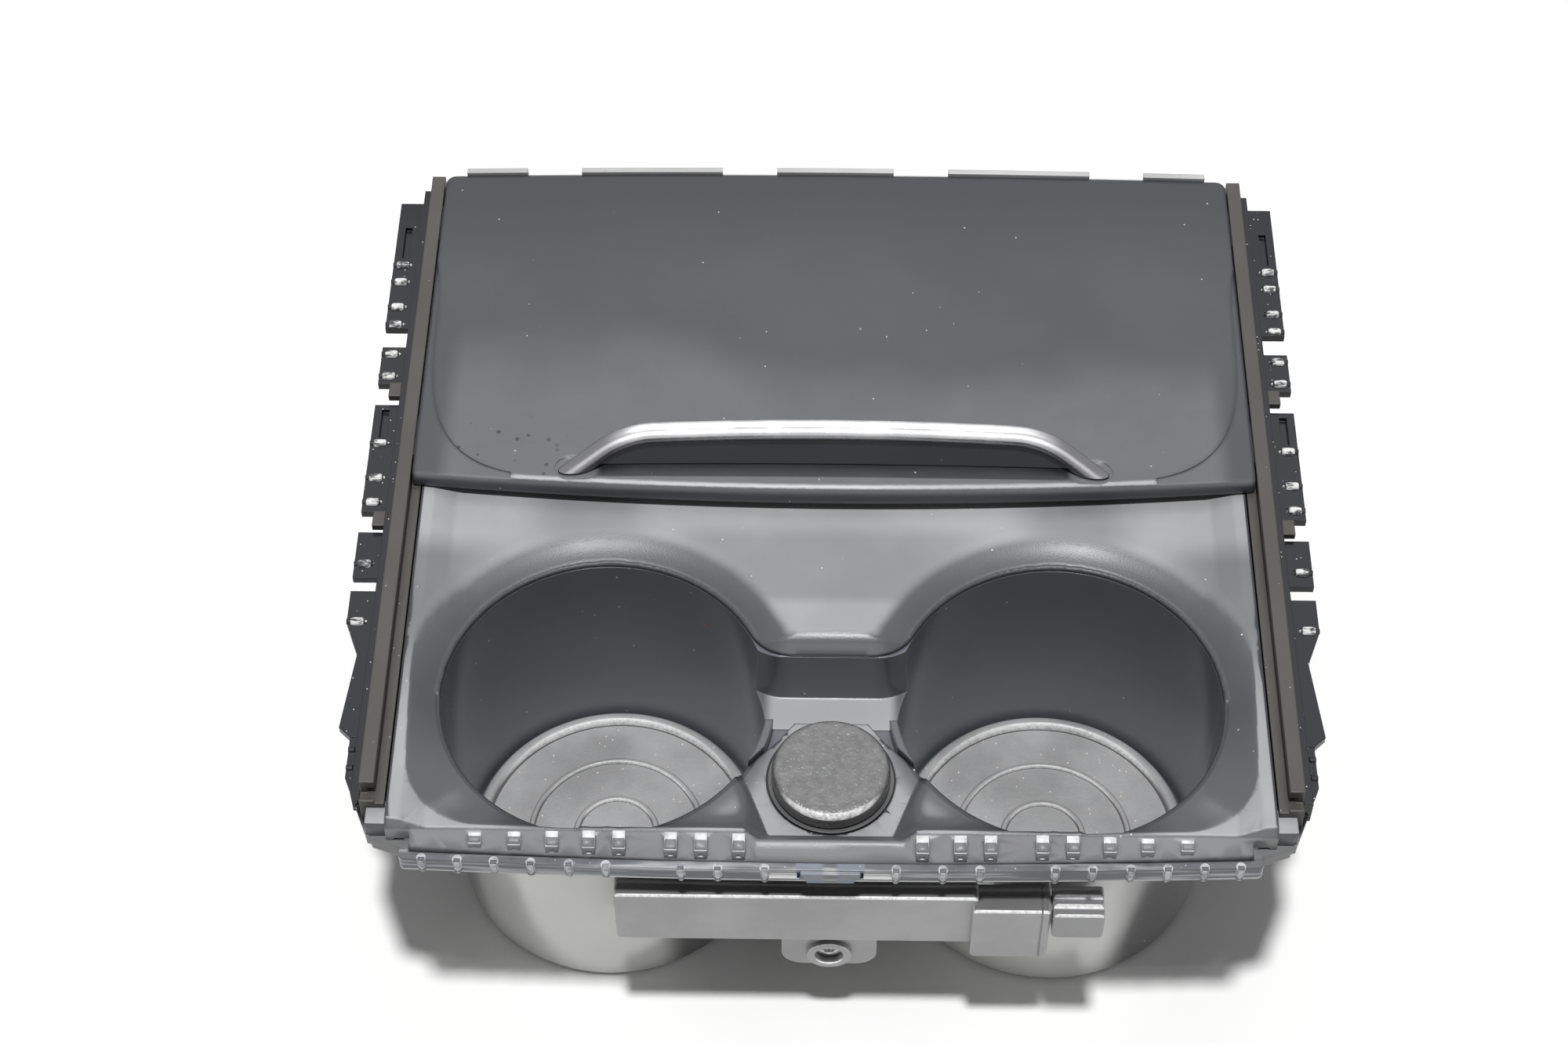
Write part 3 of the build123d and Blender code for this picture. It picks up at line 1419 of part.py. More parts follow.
with BuildPart() as lock:
    with BuildSketch(Plane.XZ.offset(-lock_back)):
        with Locations(((lock_left + lock_right) / 2, (lock_top + lock_bottom) / 2)):
            RectangleRounded(lock_right - lock_left, lock_top - lock_bottom, aerial_round)
    extrude(amount=lock_back - lock_front)
    fillet(lock.faces().sort_by(Axis.Y)[0].edges(), radius=aerial_edge)
    for run in lock_groove_runs:
        with Locations((lock_left, lock_front + run, lock_top + lock_groove_radius - lock_groove_depth)):
            Cylinder(lock_groove_radius, 4 * lock_width, rotation=(0, 90, 0), mode=Mode.SUBTRACT)
    with Locations((lock_left, shell_y, shell_top - shell_wall - seat_gap)):
        Box(
            2 * lock_tongue,
            aerial_back - shell_front - 2 * shell_wall - 2 * seat_gap,
            lock_tongue_height,
            align=(Align.CENTER, Align.CENTER, Align.MAX),
        )
save(lock, "connector_lock")


# Screws
def screw(place, direction, radius, length, head_radius, head_height):
    with BuildPart() as part:
        with BuildSketch(Plane(place, z_dir=direction)):
            Circle(radius)
        extrude(amount=length)
        with BuildSketch(Plane(place, z_dir=direction)):
            Circle(head_radius)
        extrude(amount=-head_height)
    return part.part


with BuildPart() as bracket_screw:
    add(
        screw(
            (0, screw_seat, screw_height),
            (0, 1, 0),
            screw_radius,
            screw_length,
            screw_head_radius,
            screw_head_height,
        )
    )
save(bracket_screw, "bracket_screw")

with BuildPart() as insert_screws:
    for x, y in ear_places:
        add(
            screw(
                (x, y, ear_top - ear_thickness),
                (0, 0, 1),
                ear_screw_radius,
                ear_screw_length,
                ear_head_radius,
                ear_head_height,
            )
        )
save(insert_screws, "insert_screws")
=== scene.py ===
import json
import math

import bpy
from mathutils import Matrix, Vector


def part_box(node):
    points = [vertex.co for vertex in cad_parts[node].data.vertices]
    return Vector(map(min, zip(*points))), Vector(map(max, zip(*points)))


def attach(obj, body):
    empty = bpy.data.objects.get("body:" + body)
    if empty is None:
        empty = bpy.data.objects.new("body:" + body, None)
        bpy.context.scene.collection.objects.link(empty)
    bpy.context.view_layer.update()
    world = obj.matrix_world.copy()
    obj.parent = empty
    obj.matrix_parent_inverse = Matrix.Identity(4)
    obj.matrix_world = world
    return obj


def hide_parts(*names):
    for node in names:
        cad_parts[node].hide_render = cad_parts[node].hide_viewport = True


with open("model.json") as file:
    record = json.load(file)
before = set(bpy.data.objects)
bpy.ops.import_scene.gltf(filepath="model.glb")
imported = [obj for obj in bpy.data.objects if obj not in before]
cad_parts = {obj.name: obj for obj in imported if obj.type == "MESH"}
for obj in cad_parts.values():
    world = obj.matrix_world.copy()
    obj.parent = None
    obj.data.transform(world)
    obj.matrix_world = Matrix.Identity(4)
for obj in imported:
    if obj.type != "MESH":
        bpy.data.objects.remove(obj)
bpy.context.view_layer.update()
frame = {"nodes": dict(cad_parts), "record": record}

nodes = frame["nodes"]
print("frame loaded", len(nodes), "nodes")


# View of the photograph, in metres and degrees
cameraSetup = {
    "place": (-0.002469, -0.392476, 0.628965),
    "pitch": 51.877,
    "yaw": 1.2,
    "roll": -0.388,
    "lens": 68.4,
    "sensor": 36.0,
    "nearest": 0.02,
    "farthest": 50,
}


def setCamera(setup):
    pitch = math.radians(setup["pitch"])
    turn = Matrix.Rotation(math.radians(setup["yaw"]), 3, "Z")
    ahead = turn @ Vector((0, math.cos(pitch), -math.sin(pitch)))
    above = turn @ Vector((0, math.sin(pitch), math.cos(pitch)))
    side = turn @ Vector((1, 0, 0))
    roll = math.radians(setup["roll"])
    right = math.cos(roll) * side + math.sin(roll) * above
    up = math.cos(roll) * above - math.sin(roll) * side
    data = bpy.data.cameras.new("photoCamera")
    data.sensor_fit = "HORIZONTAL"
    data.sensor_width = setup["sensor"]
    data.lens = setup["lens"]
    data.clip_start = setup["nearest"]
    data.clip_end = setup["farthest"]
    camera = bpy.data.objects.new("photoCamera", data)
    bpy.context.scene.collection.objects.link(camera)
    axes = Matrix((right, up, -ahead)).transposed()
    camera.matrix_world = Matrix.Translation(setup["place"]) @ axes.to_4x4()
    bpy.context.scene.camera = camera


setCamera(cameraSetup)
bpy.context.scene.view_settings.view_transform = "Standard"
print("camera set")


# Studio: a sun-like overhead key, soft boxes behind and in front for sheen, a pale floor
studio = {
    "keyPlace": (0, -0.13, 1.5), "keyAim": (0.02, 0.03, 0), "keyStrength": 2.8, "keyAngle": 5.5,
    "worldLight": 0.16, "floorColor": (0.93, 0.93, 0.925, 1), "floorRough": 0.9,
    "floorSize": 8.0, "floorHeight": -0.0002,
}
# the glint only adds shine, so the shadows stay dark
softBoxes = {
    "softBox": {
        "place": (0.0, 0.75, 1.25), "aim": (0, 0.04, 0.06), "size": (1.3, 0.8), "power": 3.0,
        "shineOnly": False,
    },
    "frontGlint": {
        "place": (0.0, -1.0, 0.8), "aim": (0, 0, 0.06), "size": (1.2, 0.5), "power": 4.5,
        "shineOnly": True,
    },
}


def addLight(name, kind, place, aim):
    data = bpy.data.lights.new(name, kind)
    lamp = bpy.data.objects.new(name, data)
    bpy.context.scene.collection.objects.link(lamp)
    lamp.location = place
    ahead = Vector(aim) - Vector(place)
    lamp.rotation_euler = ahead.to_track_quat("-Z", "Y").to_euler()
    return lamp


def setLights(setup, boxes):
    key = addLight("overheadKey", "SUN", setup["keyPlace"], setup["keyAim"]).data
    key.energy = setup["keyStrength"]
    key.angle = math.radians(setup["keyAngle"])
    for name, box in boxes.items():
        lamp = addLight(name, "AREA", box["place"], box["aim"])
        lamp.data.shape = "RECTANGLE"
        lamp.data.size, lamp.data.size_y = box["size"]
        lamp.data.energy = box["power"]
        lamp.visible_diffuse = not box["shineOnly"]


# white where the camera, gloss or glass sees it, dim as a light
def setWorld(setup):
    world = bpy.data.worlds.new("studioWorld")
    bpy.context.scene.world = world
    world.use_nodes = True
    tree = world.node_tree
    tree.nodes.clear()
    path = tree.nodes.new("ShaderNodeLightPath")
    seen = path.outputs["Is Camera Ray"]
    for ray in ("Is Glossy Ray", "Is Transmission Ray"):
        either = tree.nodes.new("ShaderNodeMath")
        either.operation = "MAXIMUM"
        tree.links.new(seen, either.inputs[0])
        tree.links.new(path.outputs[ray], either.inputs[1])
        seen = either.outputs[0]
    level = tree.nodes.new("ShaderNodeMapRange")
    level.inputs["To Min"].default_value = setup["worldLight"]
    level.inputs["To Max"].default_value = 1.0
    tree.links.new(seen, level.inputs["Value"])
    back = tree.nodes.new("ShaderNodeBackground")
    back.inputs["Color"].default_value = (1, 1, 1, 1)
    tree.links.new(level.outputs[0], back.inputs["Strength"])
    out = tree.nodes.new("ShaderNodeOutputWorld")
    tree.links.new(back.outputs[0], out.inputs["Surface"])


def setFloor(setup):
    bpy.ops.object.select_all(action="DESELECT")
    bpy.ops.mesh.primitive_plane_add(
        size=setup["floorSize"], location=(0, 0, setup["floorHeight"])
    )
    floor = bpy.context.object
    floor.name = "tableTop"
    paint = bpy.data.materials.new("tableWhite")
    paint.use_nodes = True
    shader = paint.node_tree.nodes["Principled BSDF"]
    shader.inputs["Base Color"].default_value = setup["floorColor"]
    shader.inputs["Roughness"].default_value = setup["floorRough"]
    shader.inputs["Specular IOR Level"].default_value = 0.0
    floor.data.materials.append(paint)


setLights(studio, softBoxes)
setWorld(studio)
setFloor(studio)
print("studio set")


# Node helpers for the finishes, all on Object coordinates in metres
noiseSpan = (0.3, 0.7)  # where most of a noise lies
patchSpan = (0.35, 0.65)  # for patches with clearer edges
topSpan = (0.55, 0.95)  # how far a face turns up before it counts as a top
raggedSpan = (0.6, 1.5)  # how far a ragged edge moves in and out
speckCore = 0.6  # share of a speck that has its full colour
speckStep = 0.01
edgeSamples = 6


class Finish:
    def __init__(self, name):
        self.material = bpy.data.materials.new(name)
        self.material.use_nodes = True
        self.tree = self.material.node_tree
        self.shader = self.tree.nodes["Principled BSDF"]
        self.coords = self.tree.nodes.new("ShaderNodeTexCoord").outputs["Object"]

    def link(self, source, target):
        self.tree.links.new(source, target)

    def noise(self, scale, detail=3.0, rough=0.55, stretch=None):
        node = self.tree.nodes.new("ShaderNodeTexNoise")
        node.inputs["Scale"].default_value = scale
        node.inputs["Detail"].default_value = detail
        node.inputs["Roughness"].default_value = rough
        place = self.coords
        if stretch:
            mapping = self.tree.nodes.new("ShaderNodeMapping")
            mapping.inputs["Scale"].default_value = stretch
            self.link(self.coords, mapping.inputs["Vector"])
            place = mapping.outputs[0]
        self.link(place, node.inputs["Vector"])
        return node.outputs["Fac"]

    def spread(self, value, low, high, toLow=0.0, toHigh=1.0, smooth=True):
        node = self.tree.nodes.new("ShaderNodeMapRange")
        node.interpolation_type = "SMOOTHSTEP" if smooth else "LINEAR"
        self.link(value, node.inputs["Value"])
        node.inputs["From Min"].default_value = low
        node.inputs["From Max"].default_value = high
        node.inputs["To Min"].default_value = toLow
        node.inputs["To Max"].default_value = toHigh
        return node.outputs[0]

    def combine(self, first, second, kind="ADD"):
        node = self.tree.nodes.new("ShaderNodeMath")
        node.operation = kind
        for value, socket in ((first, node.inputs[0]), (second, node.inputs[1])):
            if isinstance(value, float):
                socket.default_value = value
            else:
                self.link(value, socket)
        return node.outputs[0]

    def times(self, *values):
        total = values[0]
        for value in values[1:]:
            total = self.combine(total, value, "MULTIPLY")
        return total

    def axis(self, name):
        node = self.tree.nodes.new("ShaderNodeSeparateXYZ")
        self.link(self.coords, node.inputs[0])
        return node.outputs[name]

    # distance to either side of the middle
    def across(self):
        return self.combine(self.axis("X"), 0.0, "ABSOLUTE")

    def facing(self, name):
        geometry = self.tree.nodes.new("ShaderNodeNewGeometry")
        node = self.tree.nodes.new("ShaderNodeSeparateXYZ")
        self.link(geometry.outputs["Normal"], node.inputs[0])
        return node.outputs[name]

    # highest on edges that turn both up and to the front
    def frontEdge(self):
        return self.times(self.facing("Z"), self.times(self.facing("Y"), -1.0))

    # distance from the axis of the nearer cup
    def fromCup(self, cupX):
        aside = self.combine(self.across(), cupX, "SUBTRACT")
        along = self.axis("Y")
        squares = self.combine(self.times(aside, aside), self.times(along, along))
        return self.combine(squares, 0.5, "POWER")

    # distance from a point, with a ragged edge
    def distance(self, point, ragged):
        node = self.tree.nodes.new("ShaderNodeVectorMath")
        node.operation = "DISTANCE"
        self.link(self.coords, node.inputs[0])
        node.inputs[1].default_value = point
        rough = self.spread(self.noise(ragged), *noiseSpan, *raggedSpan, False)
        return self.times(node.outputs["Value"], rough)

    def blend(self, share, under, over):
        node = self.tree.nodes.new("ShaderNodeMix")
        node.data_type = "RGBA"
        self.link(share, node.inputs["Factor"])
        for value, socket in ((under, node.inputs["A"]), (over, node.inputs["B"])):
            if isinstance(value, tuple):
                socket.default_value = value + (1,)
            else:
                self.link(value, socket)
        return node.outputs["Result"]

    # specks in some cells of a random grid
    def specks(self, scale, size, share):
        node = self.tree.nodes.new("ShaderNodeTexVoronoi")
        node.inputs["Scale"].default_value = scale
        self.link(self.coords, node.inputs["Vector"])
        near = self.spread(node.outputs["Distance"], size, size * speckCore)
        draw = self.tree.nodes.new("ShaderNodeSeparateColor")
        self.link(node.outputs["Color"], draw.inputs[0])
        chosen = self.spread(draw.outputs[0], 1 - share, 1 - share + speckStep)
        return self.times(near, chosen)

    def bump(self, heights, edge=0.0):
        last = None
        if edge:
            soft = self.tree.nodes.new("ShaderNodeBevel")
            soft.samples = edgeSamples
            soft.inputs["Radius"].default_value = edge
            last = soft.outputs[0]
        for height, distance in heights:
            node = self.tree.nodes.new("ShaderNodeBump")
            node.inputs["Strength"].default_value = 1.0
            node.inputs["Distance"].default_value = distance
            self.link(height, node.inputs["Height"])
            if last:
                self.link(last, node.inputs["Normal"])
            last = node.outputs[0]
        if last:
            self.link(last, self.shader.inputs["Normal"])


# One setting per moulded finish: colour on walls and on tops, their difference painted sheen and
# shade, then a painted edge highlight, gloss, grain and dust. Dust is its scale, the size of a
# speck and the share of cells with one
finishes = {
    "mat_rubber": {
        "wall": (0.16, 0.16, 0.162), "top": (0.31, 0.31, 0.314), "drift": 45, "swing": 0.18,
        "rim": (0.62, 0.62, 0.62), "rimStart": 0.16,
        "rough": (0.36, 0.48), "grain": 1800, "grainDepth": 0.00009, "edge": 0.0003,
        "dust": (620, 0.2, 0.2), "dustColor": (0.62, 0.58, 0.52),
    },
    "rail_brown": {
        "wall": (0.03, 0.029, 0.026), "top": (0.055, 0.052, 0.044), "drift": 40,
        "rough": (0.4, 0.52), "grain": 1800, "grainDepth": 0.00002, "edge": 0.0005,
        "dust": (700, 0.16, 0.08), "dustColor": (0.4, 0.39, 0.35),
    },
    "lid_inner": {
        "wall": (0.05, 0.05, 0.052), "top": (0.09, 0.09, 0.093), "drift": 30,
        "tail": (0.5, 0.5, 0.5), "tailStart": 0.1585,
        "rough": (0.35, 0.45), "grain": 1500, "grainDepth": 0.00002, "edge": 0.0004,
        "dust": (400, 0.1, 0.03), "dustColor": (0.35, 0.35, 0.34),
    },
    "grip_black": {
        "wall": (0.016, 0.017, 0.019), "top": (0.02, 0.021, 0.023), "drift": 40, "shine": 0.16,
        "rough": (0.3, 0.42), "grain": 1500, "grainDepth": 0.00001, "edge": 0.0003,
        "dust": (500, 0.14, 0.1), "dustColor": (0.5, 0.5, 0.5),
    },
    "shoe_white": {
        "wall": (0.6, 0.59, 0.55), "top": (0.72, 0.71, 0.68), "drift": 60,
        "rough": (0.4, 0.5), "grain": 1500, "grainDepth": 0.00001, "edge": 0.0003,
        "dust": (500, 0.14, 0.1), "dustColor": (0.3, 0.29, 0.27),
    },
    "collar_black": {
        "wall": (0.02, 0.02, 0.021), "top": (0.1, 0.1, 0.102), "drift": 60,
        "rough": (0.35, 0.5), "grain": 1500, "grainDepth": 0.00001, "edge": 0.0003,
        "dust": (500, 0.14, 0.08), "dustColor": (0.4, 0.4, 0.4),
    },
    "cap_grey": {
        "wall": (0.08, 0.08, 0.081), "top": (0.165, 0.165, 0.167), "drift": 420, "swing": 0.16,
        "rim": (0.72, 0.72, 0.72), "rimStart": 0.22,
        "rough": (0.26, 0.36), "grain": 1100, "grainDepth": 0.0003, "edge": 0.0003,
        "dust": (500, 0.14, 0.06), "dustColor": (0.5, 0.5, 0.5),
    },
    "aerial_grey": {
        "wall": (0.37, 0.37, 0.373), "top": (0.13, 0.13, 0.133), "drift": 50,
        "rim": (0.85, 0.85, 0.85), "rimStart": 0.14,
        "rough": (0.34, 0.44), "grain": 2000, "grainDepth": 0.00002, "edge": 0.0003,
        "dust": (450, 0.12, 0.05), "dustColor": (0.4, 0.4, 0.4),
    },
    "lock_grey": {
        "wall": (0.29, 0.29, 0.294), "top": (0.17, 0.17, 0.176), "drift": 50,
        "rim": (0.7, 0.7, 0.7), "rimStart": 0.14,
        "rough": (0.3, 0.4), "grain": 2000, "grainDepth": 0.00002, "edge": 0.0003,
        "dust": (450, 0.12, 0.05), "dustColor": (0.4, 0.4, 0.4),
    },
}
# what the moulded finishes share
mouldedShared = {
    "swing": 0.12, "shine": 0.5, "dustDepth": 0.00008, "tailRun": 0.0002, "rimRun": 0.16,
    "rubScale": 1300, "rubSpan": (0.3, 0.6), "rubShare": (0.6, 1.0),
}


# last steps of a moulded finish: drift and dust on a colour, gloss and grain
def dressPlastic(made, color, look, tops):
    drift = made.noise(look["drift"], detail=4.0)
    specks = made.times(made.specks(*look["dust"]), tops)
    shade = made.tree.nodes.new("ShaderNodeHueSaturation")
    swing = look.get("swing", mouldedShared["swing"])
    made.link(made.spread(drift, *noiseSpan, 1 - swing, 1 + swing), shade.inputs["Value"])
    made.link(color, shade.inputs["Color"])
    dusty = made.blend(specks, shade.outputs[0], look["dustColor"])
    made.link(dusty, made.shader.inputs["Base Color"])
    made.link(made.spread(drift, *noiseSpan, *look["rough"]), made.shader.inputs["Roughness"])
    shine = look.get("shine", mouldedShared["shine"])
    made.shader.inputs["Specular IOR Level"].default_value = shine
    grain = made.noise(look["grain"], detail=2.0)
    made.bump([(grain, look["grainDepth"]), (specks, mouldedShared["dustDepth"])], look["edge"])
    return made.material


def mouldedFinish(name, look):
    made = Finish(name)
    tops = made.spread(made.facing("Z"), *topSpan)
    # painted sheen and shade: walls and tops get different colours by which way they face
    color = made.blend(tops, look["wall"], look["top"])
    if "tail" in look:  # hooks at the rear edge, coloured pale
        start = look["tailStart"]
        tail = made.spread(made.axis("Y"), start, start + mouldedShared["tailRun"])
        color = made.blend(tail, color, look["tail"])
    if "rim" in look:  # painted highlight on edges turned up and to the front, in patches
        start = look["rimStart"]
        rim = made.spread(made.frontEdge(), start, start + mouldedShared["rimRun"])
        rimNoise = made.noise(mouldedShared["rubScale"])
        rimPatches = made.spread(rimNoise, *mouldedShared["rubSpan"], *mouldedShared["rubShare"])
        color = made.blend(made.times(rim, rimPatches), color, look["rim"])
    return dressPlastic(made, color, look, tops)


# Tray: charcoal, palest on its deck and nose, the deck's paleness being painted sheen, with painted
# shade on the deck's sides, over the cups, in the hollow behind them, down the slopes into the cups
# and darkest along each mouth.
# Each pair is where a patch starts and where it is full
trayLook = {
    "slope": (0.082, 0.086, 0.092), "deck": (0.36, 0.362, 0.368), "side": (0.17, 0.172, 0.177),
    "middle": (0.25, 0.252, 0.258), "nose": (0.2, 0.202, 0.207), "mouth": (0.035, 0.037, 0.04),
    "flat": (0.945, 0.993), "noseY": (-0.0386, -0.039),
    "sideX": (0.066, 0.094), "sideFront": (-0.01, 0.02), "sideRear": (0.046, 0.036),
    "overCupX": 0.058, "overCupOff": (0.02, 0.005), "overCupY": (0.034, 0.042),
    "hollowX": (0.045, 0.026), "hollowFront": (0.0235, 0.0275), "hollowRear": (0.05, 0.043),
    "cupX": 0.0525, "lip": (0.0392, 0.045), "lipShare": (0.08, 1.0), "mouthRing": (0.0392, 0.0386),
    "drift": 24, "rough": (0.33, 0.45), "grain": 2600, "grainDepth": 0.00003, "edge": 0.0008,
    "dust": (420, 0.13, 0.07), "dustColor": (0.62, 0.62, 0.6),
}


def trayFinish(name, look):
    made = Finish(name)
    across = made.across()
    along = made.axis("Y")
    upward = made.facing("Z")
    # painted shade towards the sides of the deck
    side = made.times(
        made.spread(across, *look["sideX"]),
        made.spread(along, *look["sideFront"]),
        made.spread(along, *look["sideRear"]),
    )
    deck = made.blend(side, look["deck"], look["side"])
    # painted shade in the dished deck over each cup and in the hollow behind the trough
    offCup = made.combine(across, look["overCupX"], "SUBTRACT")
    overCup = made.times(
        made.spread(made.combine(offCup, 0.0, "ABSOLUTE"), *look["overCupOff"]),
        made.spread(along, *look["overCupY"]),
    )
    deck = made.blend(overCup, deck, look["middle"])
    hollow = made.times(
        made.spread(across, *look["hollowX"]),
        made.spread(along, *look["hollowRear"]),
        made.spread(along, *look["hollowFront"]),
    )
    deck = made.blend(hollow, deck, look["middle"])
    # painted sheen on the flat parts of the deck, painted shade on the slopes into the cups
    ring = made.fromCup(look["cupX"])
    lip = made.spread(ring, *look["lip"], *look["lipShare"])
    flat = made.spread(upward, *look["flat"])
    color = made.blend(made.times(flat, lip), look["slope"], deck)
    # painted shade along the very edge of each mouth
    color = made.blend(made.spread(ring, *look["mouthRing"]), color, look["mouth"])
    color = made.blend(made.spread(along, *look["noseY"]), color, look["nose"])
    return dressPlastic(made, color, look, made.spread(upward, *topSpan))


# Insert: dark navy satin wells, darker towards their top, a saddle paler with painted sheen, a
# trough wall paler with painted light, and a polished grey outside with painted dark reflections
# down its sides
insertLook = {
    "rim": (0.1, 0.108, 0.122), "well": (0.22, 0.235, 0.26), "saddle": (0.42, 0.423, 0.432),
    "trough": (0.15, 0.153, 0.16), "outside": (0.5, 0.5, 0.49), "band": (0.09, 0.09, 0.09),
    "wellZ": (0.012, 0.06), "saddleFlat": (0.5, 0.9), "saddleX": (0.0165, 0.0135),
    "saddleZ": (0.0485, 0.0465), "troughX": (0.0125, 0.009), "troughFacing": (-0.5, -0.9),
    "cupX": 0.0525, "wallMiddle": 0.0368, "wallDraft": 0.0311, "wallRun": (-0.0001, 0.0001),
    "clearX": (0.0168, 0.0176), "clearZ": (0.044, 0.043), "outsideZ": (0.0618, 0.0612),
    "bandRight": (0.3, 0.5), "bandLeft": (-0.74, -0.9), "coatRough": 0.1,
    "stainPlace": (-0.0304, 0.0301, 0.0499), "stainSize": (0.0012, 0.00072), "stainRagged": 900,
    "stainColor": (0.22, 0.12, 0.07), "drift": 30, "swing": 0.04,
    "rough": (0.22, 0.25), "grain": 1500, "grainDepth": 0.000008, "edge": 0.0008,
    "dust": (330, 0.12, 0.14), "dustColor": (0.55, 0.53, 0.5), "dustFacing": (-1.0, -0.9),
}


def insertFinish(name, look):
    made = Finish(name)
    across = made.across()
    height = made.axis("Z")
    upward = made.facing("Z")
    color = made.blend(made.spread(height, *look["wellZ"]), look["well"], look["rim"])
    # painted sheen on the flat saddle between the cups
    saddle = made.times(
        made.spread(upward, *look["saddleFlat"]),
        made.spread(across, *look["saddleX"]),
        made.spread(height, *look["saddleZ"]),
    )
    color = made.blend(saddle, color, look["saddle"])
    # painted light on the trough wall, which faces the front
    trough = made.times(
        made.spread(across, *look["troughX"]),
        made.spread(made.facing("Y"), *look["troughFacing"]),
    )
    color = made.blend(trough, color, look["trough"])
    fromStain = made.distance(look["stainPlace"], look["stainRagged"])
    color = made.blend(made.spread(fromStain, *look["stainSize"]), color, look["stainColor"])
    # the outside is what lies past the middle of the wall, clear of the trough
    middle = made.combine(made.times(height, look["wallDraft"]), look["wallMiddle"])
    past = made.combine(made.fromCup(look["cupX"]), middle, "SUBTRACT")
    clear = made.combine(
        made.spread(across, *look["clearX"]), made.spread(height, *look["clearZ"]), "MAXIMUM"
    )
    outside = made.times(
        made.spread(past, *look["wallRun"]), clear, made.spread(height, *look["outsideZ"])
    )
    # painted dark reflections of the shadowed floor down the outer sides of the cups
    sideways = made.facing("X")
    shell = made.blend(made.spread(sideways, *look["bandRight"]), look["outside"], look["band"])
    shell = made.blend(made.spread(sideways, *look["bandLeft"]), shell, look["band"])
    color = made.blend(outside, color, shell)
    made.link(outside, made.shader.inputs["Coat Weight"])
    made.shader.inputs["Coat Roughness"].default_value = look["coatRough"]
    return dressPlastic(made, color, look, made.spread(upward, *look["dustFacing"]))


# Carrier: gloss black with grey front corners, and a streaked front bar with a pale lower edge
carrierLook = {
    "body": (0.014, 0.015, 0.019), "corner": (0.2, 0.202, 0.205), "bar": (0.13, 0.137, 0.15),
    "barStreak": (0.42, 0.43, 0.45), "barEdge": (0.5, 0.5, 0.5), "latch": (0.2, 0.225, 0.26),
    "cornerY": (-0.034, -0.037), "barY": (-0.0412, -0.0416), "barEdgeZ": (0.0584, 0.0579),
    "streaks": 260, "streakRough": 0.6, "streakStretch": (0.12, 1, 2.4), "streakSpan": (0.46, 0.68),
    "latchOuter": (0.0079, 0.0074), "latchInner": (0.0008, 0.0022), "drift": 60, "shine": 0.28,
    "rough": (0.14, 0.24), "grain": 900, "grainDepth": 0.00001, "edge": 0.0004,
    "dust": (900, 0.2, 0.14), "dustColor": (0.6, 0.59, 0.57),
}


def carrierFinish(name, look):
    made = Finish(name)
    across = made.across()
    along = made.axis("Y")
    color = made.blend(made.spread(along, *look["cornerY"]), look["body"], look["corner"])
    streaks = made.noise(
        look["streaks"], rough=look["streakRough"], stretch=look["streakStretch"]
    )
    bar = made.blend(made.spread(streaks, *look["streakSpan"]), look["bar"], look["barStreak"])
    latch = made.times(
        made.spread(across, *look["latchOuter"]), made.spread(across, *look["latchInner"])
    )
    bar = made.blend(latch, bar, look["latch"])
    bar = made.blend(made.spread(made.axis("Z"), *look["barEdgeZ"]), bar, look["barEdge"])
    color = made.blend(made.spread(along, *look["barY"]), color, bar)
    return dressPlastic(made, color, look, made.spread(made.facing("Z"), *topSpan))


# Metals: colour, gloss and a fine drift. The sloping legs of the handle get a painted shade, darker
# than its bar
metals = {
    "trim_silver": {
        "dark": (0.5, 0.5, 0.507), "pale": (0.6, 0.6, 0.606), "rough": (0.24, 0.32),
        "grain": 1500, "leg": (0.2, 0.2, 0.205), "legX": (0.046, 0.056),
    },
    "barrel_steel": {
        "dark": (0.5, 0.5, 0.5), "pale": (0.62, 0.62, 0.62), "rough": (0.25, 0.4), "grain": 900,
    },
    "contact_brass": {
        "dark": (0.55, 0.4, 0.16), "pale": (0.7, 0.54, 0.25), "rough": (0.25, 0.4), "grain": 900,
    },
    "coil_copper": {
        "dark": (0.4, 0.16, 0.07), "pale": (0.55, 0.25, 0.12), "rough": (0.3, 0.4), "grain": 1200,
    },
    "screw_steel": {
        "dark": (0.4, 0.4, 0.4), "pale": (0.62, 0.62, 0.62), "rough": (0.25, 0.45), "grain": 1200,
    },
}
metalSurface = {"drift": 120, "grainDepth": 0.000008, "edge": 0.0003}


def metalFinish(name, look):
    made = Finish(name)
    drift = made.noise(metalSurface["drift"], detail=4.0)
    color = made.blend(made.spread(drift, *patchSpan), look["dark"], look["pale"])
    # painted shade on the sloping legs of the handle
    if "leg" in look:
        color = made.blend(made.spread(made.across(), *look["legX"]), color, look["leg"])
    made.link(color, made.shader.inputs["Base Color"])
    made.shader.inputs["Metallic"].default_value = 1.0
    made.link(made.spread(drift, *noiseSpan, *look["rough"]), made.shader.inputs["Roughness"])
    grain = made.noise(look["grain"], detail=2.0)
    made.bump([(grain, metalSurface["grainDepth"])], metalSurface["edge"])
    return made.material


